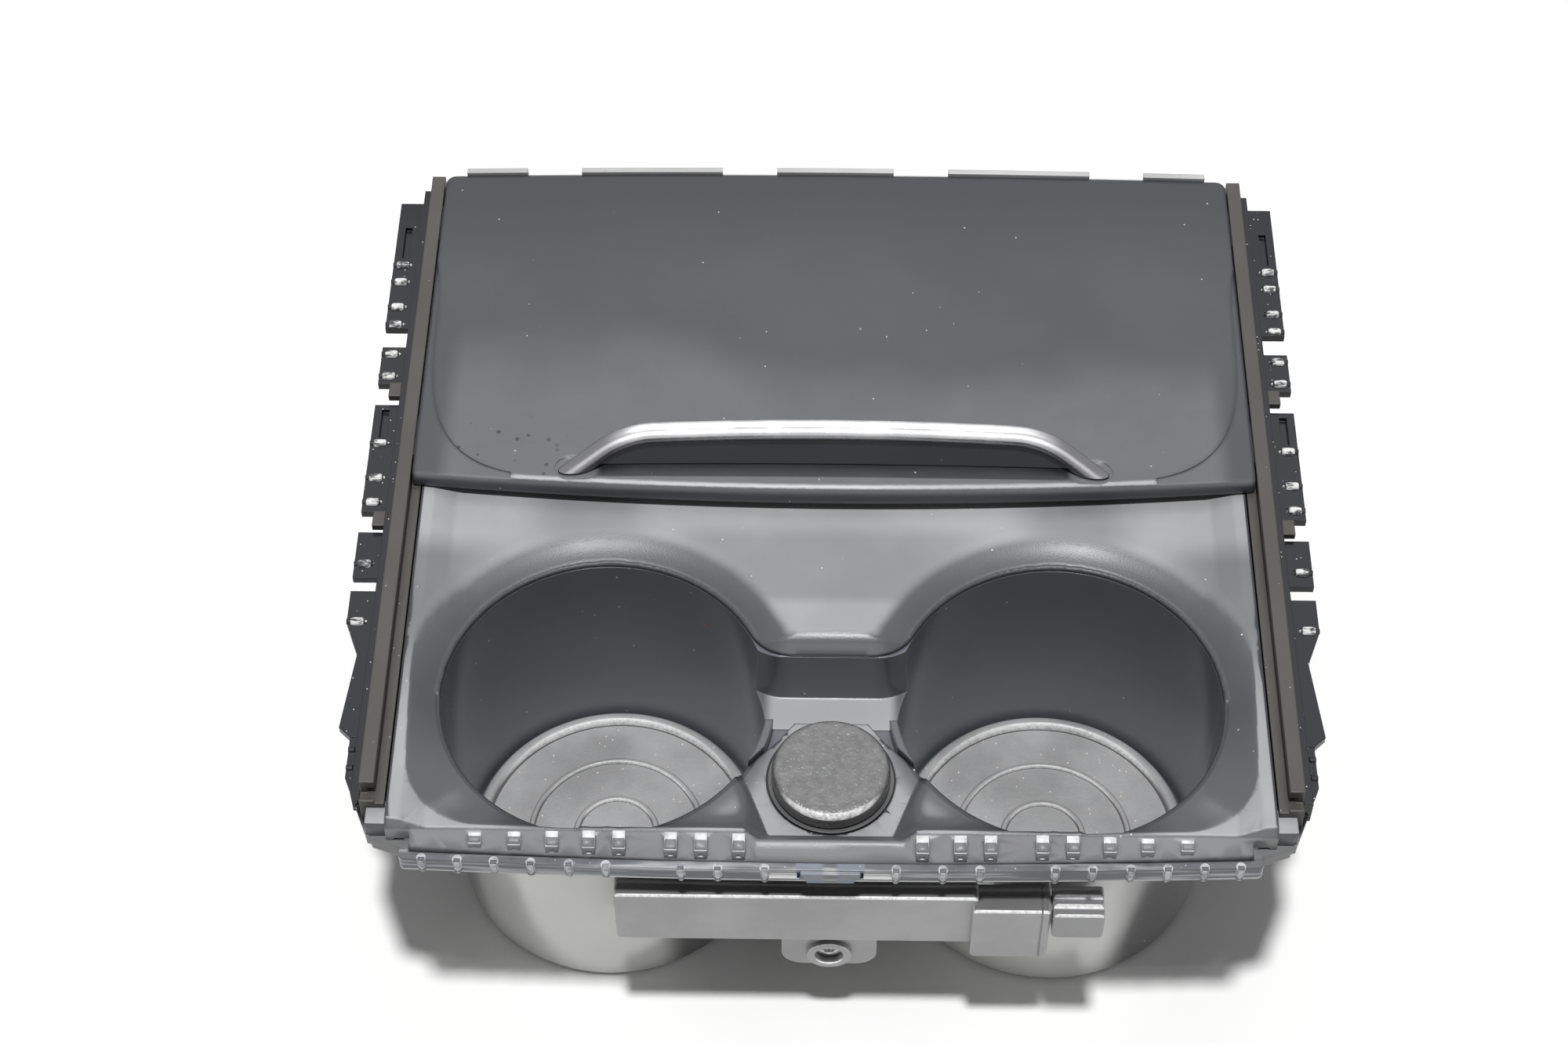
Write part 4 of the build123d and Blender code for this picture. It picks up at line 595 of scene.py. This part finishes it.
# Lid skin: satin, with a painted reflection darker and bluer to the rear, paler with painted sheen
# and smudged towards the handle, and a painted highlight on the front lip
lidLook = {
    "dark": (0.046, 0.05, 0.057), "pale": (0.058, 0.062, 0.069), "rear": (0.03, 0.033, 0.039),
    "under": (0.006, 0.0065, 0.008), "lip": (0.34, 0.34, 0.35), "smudgeAndSheen": (0.125, 0.128, 0.135),
    "drift": 22, "rearY": (0.12, 0.155),
    "smudgeSheenY": (0.112, 0.074), "smudgeSheenX": (0.097, 0.091), "smudgeSheenFlat": (0.9, 0.99),
    "wander": (-0.03, 0.03), "wanderScale": 11, "wanderSpan": (0.25, 0.75),
    "smudgeScale": 34, "smudgeRough": 0.6, "smudgeShare": (0.72, 1.0),
    "underX": (0.0575, 0.0555), "underFront": (0.0568, 0.0573), "underRear": (0.0665, 0.066),
    "stainColor": (0.03, 0.03, 0.032), "stainPlace": (-0.078, 0.064, 0.073),
    "stainSize": (0.017, 0.0085), "stainRagged": 60, "stainSpots": (420, 0.3, 0.3),
    "lipEdge": (0.1, 0.24), "lipFlat": (0.8, 0.92),
    "rough": (0.32, 0.42), "grain": 2200, "grainDepth": 0.000012, "edge": 0.0016,
    "dust": (300, 0.09, 0.12), "dustColor": (0.5, 0.49, 0.47), "dustDepth": 0.00008,
}


def lidFinish(name, look):
    made = Finish(name)
    across = made.across()
    along = made.axis("Y")
    upward = made.facing("Z")
    drift = made.noise(look["drift"], detail=5.0)
    color = made.blend(made.spread(drift, *patchSpan), look["dark"], look["pale"])
    # painted reflection, darker and bluer to the rear
    color = made.blend(made.spread(along, *look["rearY"]), color, look["rear"])
    wandering = made.noise(look["wanderScale"])
    wander = made.spread(wandering, *look["wanderSpan"], *look["wander"], False)
    smudges = made.noise(look["smudgeScale"], detail=5.0, rough=look["smudgeRough"])
    # smudges together with painted sheen, paler towards the handle
    smudgeAndSheen = made.times(
        made.spread(made.combine(along, wander), *look["smudgeSheenY"]),
        made.spread(smudges, *noiseSpan, *look["smudgeShare"]),
        made.spread(across, *look["smudgeSheenX"]),
        made.spread(upward, *look["smudgeSheenFlat"]),
    )
    color = made.blend(smudgeAndSheen, color, look["smudgeAndSheen"])
    under = made.times(  # shade below the arch of the handle
        made.spread(across, *look["underX"]),
        made.spread(along, *look["underRear"]),
        made.spread(along, *look["underFront"]),
    )
    color = made.blend(under, color, look["under"])
    fromStain = made.distance(look["stainPlace"], look["stainRagged"])
    stain = made.times(
        made.spread(fromStain, *look["stainSize"]), made.specks(*look["stainSpots"])
    )
    color = made.blend(stain, color, look["stainColor"])
    # painted highlight along the rounded front edge of the lip
    lip = made.times(
        made.spread(made.frontEdge(), *look["lipEdge"]), made.spread(upward, *look["lipFlat"])
    )
    color = made.blend(lip, color, look["lip"])
    specks = made.specks(*look["dust"])
    color = made.blend(specks, color, look["dustColor"])
    made.link(color, made.shader.inputs["Base Color"])
    made.link(made.spread(drift, *noiseSpan, *look["rough"]), made.shader.inputs["Roughness"])
    grain = made.noise(look["grain"], detail=2.0)
    made.bump([(grain, look["grainDepth"]), (specks, look["dustDepth"])], look["edge"])
    return made.material


# Ferrite core of the aerial
ferriteLook = {
    "dark": (0.06, 0.06, 0.063), "pale": (0.1, 0.1, 0.104), "drift": 200, "rough": 0.6,
    "grain": 1500, "grainDepth": 0.00002,
}


def ferriteFinish(name, look):
    made = Finish(name)
    drift = made.noise(look["drift"], detail=4.0)
    color = made.blend(made.spread(drift, *patchSpan), look["dark"], look["pale"])
    made.link(color, made.shader.inputs["Base Color"])
    made.shader.inputs["Roughness"].default_value = look["rough"]
    made.bump([(made.noise(look["grain"], detail=2.0), look["grainDepth"])])
    return made.material


skins = {name: mouldedFinish(name + "Finish", look) for name, look in finishes.items()}
skins["tray_grey"] = trayFinish("trayGreyFinish", trayLook)
skins["insert_black"] = insertFinish("insertBlackFinish", insertLook)
skins["carrier_black"] = carrierFinish("carrierBlackFinish", carrierLook)
skins.update({name: metalFinish(name + "Finish", look) for name, look in metals.items()})
skins["lid_grey"] = lidFinish("lidGreyFinish", lidLook)
skins["ferrite"] = ferriteFinish("ferriteFinish", ferriteLook)
for entry in frame["record"]["subparts"]:
    part = nodes[entry["node"]]
    part.data.materials.clear()
    part.data.materials.append(skins[entry["material_slot"]])


# Modelling helpers: one piece at a time, shaped in edit mode
squareOn = 0.9  # a face this far turned along an axis looks straight that way
bevelAngle = 30
bevelShade = 40


def pick(piece, kind, test):
    bpy.ops.object.mode_set(mode="EDIT")
    bpy.ops.mesh.select_mode(type=kind)
    bpy.ops.mesh.select_all(action="DESELECT")
    bpy.ops.object.mode_set(mode="OBJECT")
    for item in piece.data.polygons if kind == "FACE" else piece.data.vertices:
        item.select = test(item)
    bpy.ops.object.mode_set(mode="EDIT")


def addCylinder(look, radius, depth, **place):
    bpy.ops.object.select_all(action="DESELECT")
    bpy.ops.mesh.primitive_cylinder_add(
        vertices=look["sides"], radius=radius, depth=depth, **place
    )


def addBlock(look, place=(0, 0, 0)):
    bpy.ops.object.select_all(action="DESELECT")
    bpy.ops.mesh.primitive_cube_add(size=1, location=place, scale=look["size"])


def startPiece(name):
    piece = bpy.context.object
    piece.name = name
    bpy.ops.object.transform_apply(location=True, rotation=True, scale=True)
    return piece


def extrude(*step):
    bpy.ops.mesh.extrude_region_move(TRANSFORM_OT_translate={"value": step})


def smoothShade(angle):
    bpy.ops.object.mode_set(mode="OBJECT")
    bpy.ops.object.shade_smooth_by_angle(angle=math.radians(angle))


def softenEdges(piece, width, segments, angle=bevelAngle):
    bpy.ops.object.mode_set(mode="OBJECT")
    bpy.ops.object.modifier_add(type="BEVEL")
    soft = piece.modifiers[-1]
    soft.width = width
    soft.segments = segments
    soft.limit_method = "ANGLE"
    soft.angle_limit = math.radians(angle)
    bpy.ops.object.modifier_apply(modifier=soft.name)
    smoothShade(bevelShade)


# places on both sides along a front that bows back towards its ends
def bowedPlaces(look, height):
    places = []
    for x in look["xs"]:
        front = look["front"] + look["bow"] * (x / look["halfWidth"]) ** 2
        places += [(-x, front, height), (x, front, height)]
    return places


# one place on each side
def pairPlaces(look):
    return [(side * look["x"], look["y"], look["z"]) for side in (-1, 1)]


# copies of one model at each place, each with its own mesh, joined into a row
def makeRow(model, name, places):
    bpy.ops.object.mode_set(mode="OBJECT")
    bpy.ops.object.select_all(action="DESELECT")
    row = []
    for place in places:
        twin = model.copy()
        twin.data = model.data.copy()
        twin.location = place
        bpy.context.scene.collection.objects.link(twin)
        twin.select_set(True)
        row.append(twin)
    bpy.data.objects.remove(model)
    bpy.context.view_layer.objects.active = row[0]
    bpy.ops.object.join()
    bpy.ops.object.transform_apply(location=True, rotation=True, scale=True)
    row[0].name = name
    return row[0]


def seat(piece, skin, body="holder"):
    bpy.ops.object.mode_set(mode="OBJECT")
    piece.data.materials.clear()
    piece.data.materials.append(skin)
    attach(piece, body)


# Whitened crush marks on the tab ribs: half a ragged barrel over each rib
scuff = {
    "ys": (0.1355, 0.1296, 0.1209, 0.1149, 0.1048, 0.0975, 0.0755, 0.0646, 0.057, 0.0381, 0.021),
    "x": 0.1119, "z": 0.0624, "radius": 0.0011, "length": 0.0046, "sides": 20, "endInset": 0.4,
    "cuts": 3, "taperFrom": 0.8, "taper": (1, 0.16, 0.3), "ragged": 0.0001, "raggedFrom": 0.0001,
    "seed": 7, "shade": 50,
    "dark": (0.06, 0.062, 0.066), "pale": (0.82, 0.82, 0.81), "cover": (0.38, 0.56),
}
# the whitening itself, also on the ribs of the front bar
whitening = {
    "fibres": 900, "fibreRough": 0.7, "fibreStretch": (0.35, 1.6, 1.0), "fibreDepth": 0.00012,
    "patches": 420, "patchReach": (-0.12, 0.12), "rough": (0.22, 0.6),
}


def scuffFinish(name, look):
    made = Finish(name)
    fibres = made.noise(
        whitening["fibres"], detail=4.0, rough=whitening["fibreRough"],
        stretch=whitening["fibreStretch"],
    )
    patches = made.noise(whitening["patches"], detail=2.0)
    uneven = made.combine(fibres, made.spread(patches, *noiseSpan, *whitening["patchReach"]))
    white = made.spread(uneven, *look["cover"])
    made.link(made.blend(white, look["dark"], look["pale"]), made.shader.inputs["Base Color"])
    made.link(made.spread(white, 0.0, 1.0, *whitening["rough"]), made.shader.inputs["Roughness"])
    made.bump([(fibres, whitening["fibreDepth"])])
    return made.material


def makeScuff(look):
    addCylinder(look, look["radius"], look["length"], rotation=(0, math.pi / 2, 0))
    piece = startPiece("tabScuff")
    half = look["length"] / 2
    pick(piece, "FACE", lambda face: abs(face.normal.x) > squareOn)
    bpy.ops.mesh.inset(thickness=look["radius"] * look["endInset"])
    bpy.ops.mesh.select_all(action="SELECT")
    bpy.ops.mesh.bisect(plane_co=(0, 0, 0), plane_no=(0, 0, 1), clear_inner=True, use_fill=True)
    pick(piece, "FACE", lambda face: abs(face.normal.x) < 0.1 and face.normal.z > -0.5)
    bpy.ops.mesh.subdivide(number_cuts=look["cuts"])
    pick(piece, "VERT", lambda point: abs(point.co.x) > half * look["taperFrom"])
    bpy.ops.transform.resize(value=look["taper"], center_override=(0, 0, 0))
    pick(piece, "VERT", lambda point: point.co.z > look["raggedFrom"])
    bpy.ops.transform.vertex_random(offset=look["ragged"], seed=look["seed"])
    smoothShade(look["shade"])
    return piece


scuffSkin = scuffFinish("whitenedPlastic", scuff)
for sideName, side in (("Left", -1), ("Right", 1)):
    spots = [(side * scuff["x"], y, scuff["z"]) for y in scuff["ys"]]
    seat(makeRow(makeScuff(scuff), "tabScuffs" + sideName, spots), scuffSkin)
print("tab scuffs made")


# Nose ribs: bevelled blocks with a painted highlight on the top and a small pocket in the face
noseRib = {
    "xs": (0.0791, 0.0703, 0.0619, 0.0537, 0.047, 0.0355, 0.0288, 0.0204), "front": -0.0434,
    "bow": 0.002, "halfWidth": 0.0937, "size": (0.0029, 0.0043, 0.0046), "top": 0.0667,
    "slump": 0.0015, "setBack": 0.0004, "pocket": 0.0008, "pocketDrop": -0.0007,
    "pocketInset": 0.34, "pocketTall": 0.5, "pocketMiddle": 0.45, "round": 0.00018,
    "topColor": (0.72, 0.72, 0.72), "face": (0.2, 0.202, 0.206),
}
# painted highlight in patches on the tops of ribs and sills
ribSurface = {
    "topFacing": (0.35, 0.8), "glintScale": 700, "glintSpan": (0.25, 0.6), "glintShare": (0.55, 1.0),
    "roughSpan": (0.5, 1.0), "rough": (0.3, 0.45), "grain": 1500, "grainDepth": 0.00003,
    "edge": 0.0002,
}


def ribFinish(name, look):
    made = Finish(name)
    tops = made.spread(made.facing("Z"), *ribSurface["topFacing"])
    glintNoise = made.noise(ribSurface["glintScale"], detail=4.0)
    glintPatches = made.spread(glintNoise, *ribSurface["glintSpan"], *ribSurface["glintShare"])
    # painted highlight on the tops, in patches
    color = made.blend(made.times(tops, glintPatches), look["face"], look["topColor"])
    made.link(color, made.shader.inputs["Base Color"])
    rough = made.spread(glintPatches, *ribSurface["roughSpan"], *ribSurface["rough"])
    made.link(rough, made.shader.inputs["Roughness"])
    made.bump([(made.noise(ribSurface["grain"]), ribSurface["grainDepth"])], ribSurface["edge"])
    return made.material


def makeNoseRib(look):
    wide, deep, tall = look["size"]
    addBlock(look, (0, deep / 2, -tall / 2))
    piece = startPiece("noseRib")
    pick(piece, "VERT", lambda point: point.co.y < deep / 2 and point.co.z > -tall / 2)
    bpy.ops.transform.translate(value=(0, look["setBack"], -look["slump"]))
    pick(piece, "FACE", lambda face: face.normal.y < -squareOn)
    bpy.ops.mesh.inset(thickness=wide * look["pocketInset"])
    bpy.ops.transform.resize(
        value=(1, 1, look["pocketTall"]), center_override=(0, 0, -tall * look["pocketMiddle"])
    )
    bpy.ops.transform.translate(value=(0, 0, look["pocketDrop"]))
    extrude(0, look["pocket"], 0)
    softenEdges(piece, look["round"], 2)
    return piece


noseRibs = makeRow(makeNoseRib(noseRib), "noseRibs", bowedPlaces(noseRib, noseRib["top"]))
seat(noseRibs, ribFinish("noseRibGrey", noseRib))
print("nose ribs made")


# Crush ribs of the front bar: rounded posts, rubbed white
barRib = {
    "xs": (0.091, 0.083, 0.0748, 0.0666, 0.0581, 0.0499, 0.0332, 0.025, 0.0146),
    "front": -0.0453, "bow": 0.002, "halfWidth": 0.0962, "radius": 0.0011, "sides": 16,
    "low": 0.0576, "high": 0.0623, "cuts": 4, "footFrom": 0.3, "foot": (0.6, 0.8, 1),
    "ragged": 0.00007, "seed": 3, "round": 0.0002, "roundAngle": 50,
    "dark": (0.28, 0.29, 0.305), "pale": (0.56, 0.57, 0.58), "cover": (0.36, 0.62),
}


def makeBarRib(look):
    tall = look["high"] - look["low"]
    addCylinder(look, look["radius"], tall)
    piece = startPiece("barRib")
    pick(piece, "FACE", lambda face: abs(face.normal.z) < 0.5)
    bpy.ops.mesh.subdivide(number_cuts=look["cuts"])
    pick(piece, "VERT", lambda point: point.co.z < -tall * look["footFrom"])
    bpy.ops.transform.resize(value=look["foot"], center_override=(0, 0, 0))
    pick(piece, "VERT", lambda point: True)
    bpy.ops.transform.vertex_random(offset=look["ragged"], seed=look["seed"])
    softenEdges(piece, look["round"], 2, look["roundAngle"])
    return piece


barMiddle = (barRib["low"] + barRib["high"]) / 2
barRibs = makeRow(makeBarRib(barRib), "barRibs", bowedPlaces(barRib, barMiddle))
seat(barRibs, scuffFinish("rubbedBarPlastic", barRib))
print("bar ribs made")


# Screw of the aerial lug: pan head with a star recess, on a plain shank
screwShape = {
    "sides": 24, "headDepth": 0.0018, "shank": 0.0015, "tipShare": 0.2, "tip": 0.3,
    "recess": 0.0016, "recessDepth": 0.0011, "recessMiddle": 0.0003, "points": 6, "star": 0.68,
    "valley": (22, 38), "valleyReach": 1.05, "faceDepth": 0.0001, "round": 0.00012,
    "roundAngle": 40,
}


def makeScrew(look):
    low, high = (Vector(corner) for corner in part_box("bracket_screw"))
    radius = (high.x - low.x) / 2
    center = (low + high) / 2
    headDepth = look["headDepth"]
    addCylinder(
        look, radius, headDepth, rotation=(math.pi / 2, 0, 0),
        location=(center.x, low.y + headDepth / 2, center.z),
    )
    piece = startPiece("starScrew")
    pick(piece, "FACE", lambda face: face.normal.y > squareOn)
    bpy.ops.mesh.inset(thickness=radius - look["shank"])
    length = high.y - low.y - headDepth
    extrude(0, length * (1 - look["tipShare"]), 0)
    extrude(0, length * look["tipShare"], 0)
    bpy.ops.transform.resize(value=(look["tip"], 1, look["tip"]), center_override=center)
    pick(piece, "FACE", lambda face: face.normal.y < -squareOn)
    bpy.ops.mesh.inset(thickness=radius - look["recess"])

    # corners of the recess that go in between the points of the star
    def isValley(point):
        away = point.co - center
        turn = math.degrees(math.atan2(away.z, away.x)) % (360 / look["points"])
        first, last = look["valley"]
        onFace = point.co.y < low.y + look["faceDepth"]
        onRecess = math.hypot(away.x, away.z) < look["recess"] * look["valleyReach"]
        return onFace and onRecess and first < turn < last

    def isRecess(face):
        return face.normal.y < -squareOn and (face.center - center).xz.length < look["recessMiddle"]

    pick(piece, "VERT", isValley)
    bpy.ops.transform.resize(value=(look["star"], 1, look["star"]), center_override=center)
    pick(piece, "FACE", isRecess)
    extrude(0, look["recessDepth"], 0)
    softenEdges(piece, look["round"], 2, look["roundAngle"])
    return piece


starScrew = makeScrew(screwShape)
seat(starScrew, skins["screw_steel"])
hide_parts("bracket_screw")
print("screw made")


# Round boss of the lug around the screw
bossShape = {
    "sides": 40, "outer": 0.0052, "inner": 0.0033, "depth": 0.0016, "middle": (0, -0.0446, 0.024),
    "round": 0.0003,
}


def makeBoss(look):
    addCylinder(
        look, look["outer"], look["depth"], rotation=(math.pi / 2, 0, 0), location=look["middle"]
    )
    piece = startPiece("lugBoss")
    pick(piece, "FACE", lambda face: abs(face.normal.y) > squareOn)
    bpy.ops.mesh.inset(thickness=look["outer"] - look["inner"], use_individual=True)
    bpy.ops.mesh.bridge_edge_loops()
    softenEdges(piece, look["round"], 3)
    return piece


seat(makeBoss(bossShape), skins["aerial_grey"])
print("lug boss made")


# Shelves of the tray in front of the rail ends
shelfShape = {
    "size": (0.0086, 0.0062, 0.005), "x": 0.0996, "y": -0.0345, "z": 0.0641, "inset": 0.12,
    "step": 0.06, "round": 0.0012,
}


def makeShelf(look):
    deep, tall = look["size"][1:]
    addBlock(look)
    piece = startPiece("cornerShelf")
    pick(piece, "FACE", lambda face: face.normal.y < -squareOn)
    bpy.ops.mesh.inset(thickness=tall * look["inset"])
    extrude(0, -deep * look["step"], -tall * look["step"])
    softenEdges(piece, look["round"], 4)
    return piece


cornerShelves = makeRow(makeShelf(shelfShape), "cornerShelves", pairPlaces(shelfShape))
seat(cornerShelves, skins["tray_grey"])
print("corner shelves made")


# Pale sills at the foot of the two latch windows
sillShape = {
    "size": (0.0078, 0.0011, 0.0019), "x": 0.0113, "y": -0.0453, "z": 0.0597, "rake": 0.0004,
    "inset": 0.16, "dent": 0.0002, "round": 0.00012,
    "topColor": (0.8, 0.8, 0.8), "face": (0.7, 0.7, 0.7),
}


def makeSill(look):
    tall = look["size"][2]
    addBlock(look)
    piece = startPiece("latchSill")
    pick(piece, "VERT", lambda point: point.co.z > 0 and point.co.y < 0)
    bpy.ops.transform.translate(value=(0, look["rake"], 0))
    pick(piece, "FACE", lambda face: face.normal.y < -0.5)
    bpy.ops.mesh.inset(thickness=tall * look["inset"])
    bpy.ops.transform.translate(value=(0, look["dent"], 0))
    softenEdges(piece, look["round"], 2)
    return piece


latchSills = makeRow(makeSill(sillShape), "latchSills", pairPlaces(sillShape))
seat(latchSills, ribFinish("paleSill", sillShape))
print("latch sills made")


# Tray: a remeshed copy of the CAD body, its slopes around the cups drawn into one soft sweep
traySweep = {
    "cell": 0.0005, "mouth": 0.0385, "edge": 0.0634, "cupX": 0.0525, "reach": 0.0485,
    "side": 0.0968, "lean": 0.05, "front": -0.0376, "low": 0.0612, "corner": 0.016,
    "wingWide": (0.0205, -0.0192), "wingNarrow": (0.0141, -0.0362), "leastGap": 0.0002,
    "roundRun": 0.02, "downFacing": -0.3, "rayHeight": 0.1, "leastMove": 0.00002,
    "passes": 10, "softness": 0.5, "share": 0.3, "shade": 38,
}


# nearest place on the outer edge of the slope, and how far off it is
def outerEdge(x, y, look):
    side = look["side"] + look["lean"] * y
    corner = look["corner"]
    bendX = x - side + corner
    bendY = look["front"] + corner - y
    if bendX > 0 and bendY > 0:
        away = math.hypot(bendX, bendY)
        grow = corner / away
        return corner - away, side - corner + bendX * grow, look["front"] + corner - bendY * grow
    choices = [(side - x, side, y)]
    if y < 0:
        choices.append((y - look["front"], x, look["front"]))
    else:
        ring = math.hypot(x - look["cupX"], y)
        grow = look["reach"] / ring
        edgeX = look["cupX"] + (x - look["cupX"]) * grow
        choices.append((look["reach"] - ring, edgeX, y * grow))
    return min(choices)


# wing between cup, nose and plateau: the nearer edge counts more
def wingHeight(x, y, ring, look, top):
    wide, narrow = Vector(look["wingWide"]), Vector(look["wingNarrow"])
    along = (narrow - wide).normalized()
    off = Vector((x, y)) - wide
    beside = abs(off.x * along.y - off.y * along.x)
    gaps = (y - look["front"], ring - look["mouth"], beside)
    heights = (top, look["edge"], look["low"])
    weights = [1 / max(gap, look["leastGap"]) for gap in gaps]
    return sum(weight * height for weight, height in zip(weights, heights)) / sum(weights)


def sweepHeight(point, look, source):
    x, y, z = abs(point.co.x), point.co.y, point.co.z
    if point.normal.z < look["downFacing"] or z < look["low"] or y < look["front"]:
        return z
    ring = math.hypot(x - look["cupX"], y)
    if ring < look["mouth"]:
        return min(z, look["edge"]) if y < 0 else z

    def topAt(placeX, placeY):
        start = Vector((placeX, placeY, look["rayHeight"]))
        hit, place = source.ray_cast(start, Vector((0, 0, -1)))[:2]
        return place.z if hit else z

    if y < 0 and x < look["cupX"]:
        return min(z, wingHeight(x, y, ring, look, topAt(x, look["front"])))
    gap, edgeX, edgeY = outerEdge(x, y, look)
    if gap <= 0:
        return z
    share = (ring - look["mouth"]) / (ring - look["mouth"] + gap)
    rounded = 1 - (1 - share) ** 2
    share += (rounded - share) * max(0.0, min(1.0, y / look["roundRun"]))
    height = look["edge"] + (topAt(edgeX, edgeY) - look["edge"]) * share
    return height if x > look["cupX"] else min(z, height)


def makeTray(look):
    bpy.ops.object.select_all(action="DESELECT")
    source = nodes["cup_tray"]
    piece = source.copy()
    piece.data = source.data.copy()
    bpy.context.scene.collection.objects.link(piece)
    piece.select_set(True)
    bpy.context.view_layer.objects.active = piece
    piece.name = "softTray"
    piece.data.remesh_voxel_size = look["cell"]
    bpy.ops.object.voxel_remesh()
    group = piece.vertex_groups.new(name="sweep")
    drawn = [(point, sweepHeight(point, look, source)) for point in piece.data.vertices]
    for point, height in drawn:
        if abs(height - point.co.z) > look["leastMove"]:
            point.co.z = height
            group.add([point.index], 1.0, "REPLACE")
    bpy.ops.object.modifier_add(type="SMOOTH")
    soft = piece.modifiers[-1]
    soft.vertex_group = group.name
    soft.factor = look["softness"]
    soft.iterations = look["passes"]
    bpy.ops.object.modifier_apply(modifier=soft.name)
    bpy.ops.object.modifier_add(type="DECIMATE")
    fewer = piece.modifiers[-1]
    fewer.ratio = look["share"]
    bpy.ops.object.modifier_apply(modifier=fewer.name)
    smoothShade(look["shade"])
    return piece


softTray = makeTray(traySweep)
seat(softTray, skins["tray_grey"])
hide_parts("cup_tray")
print("tray made")
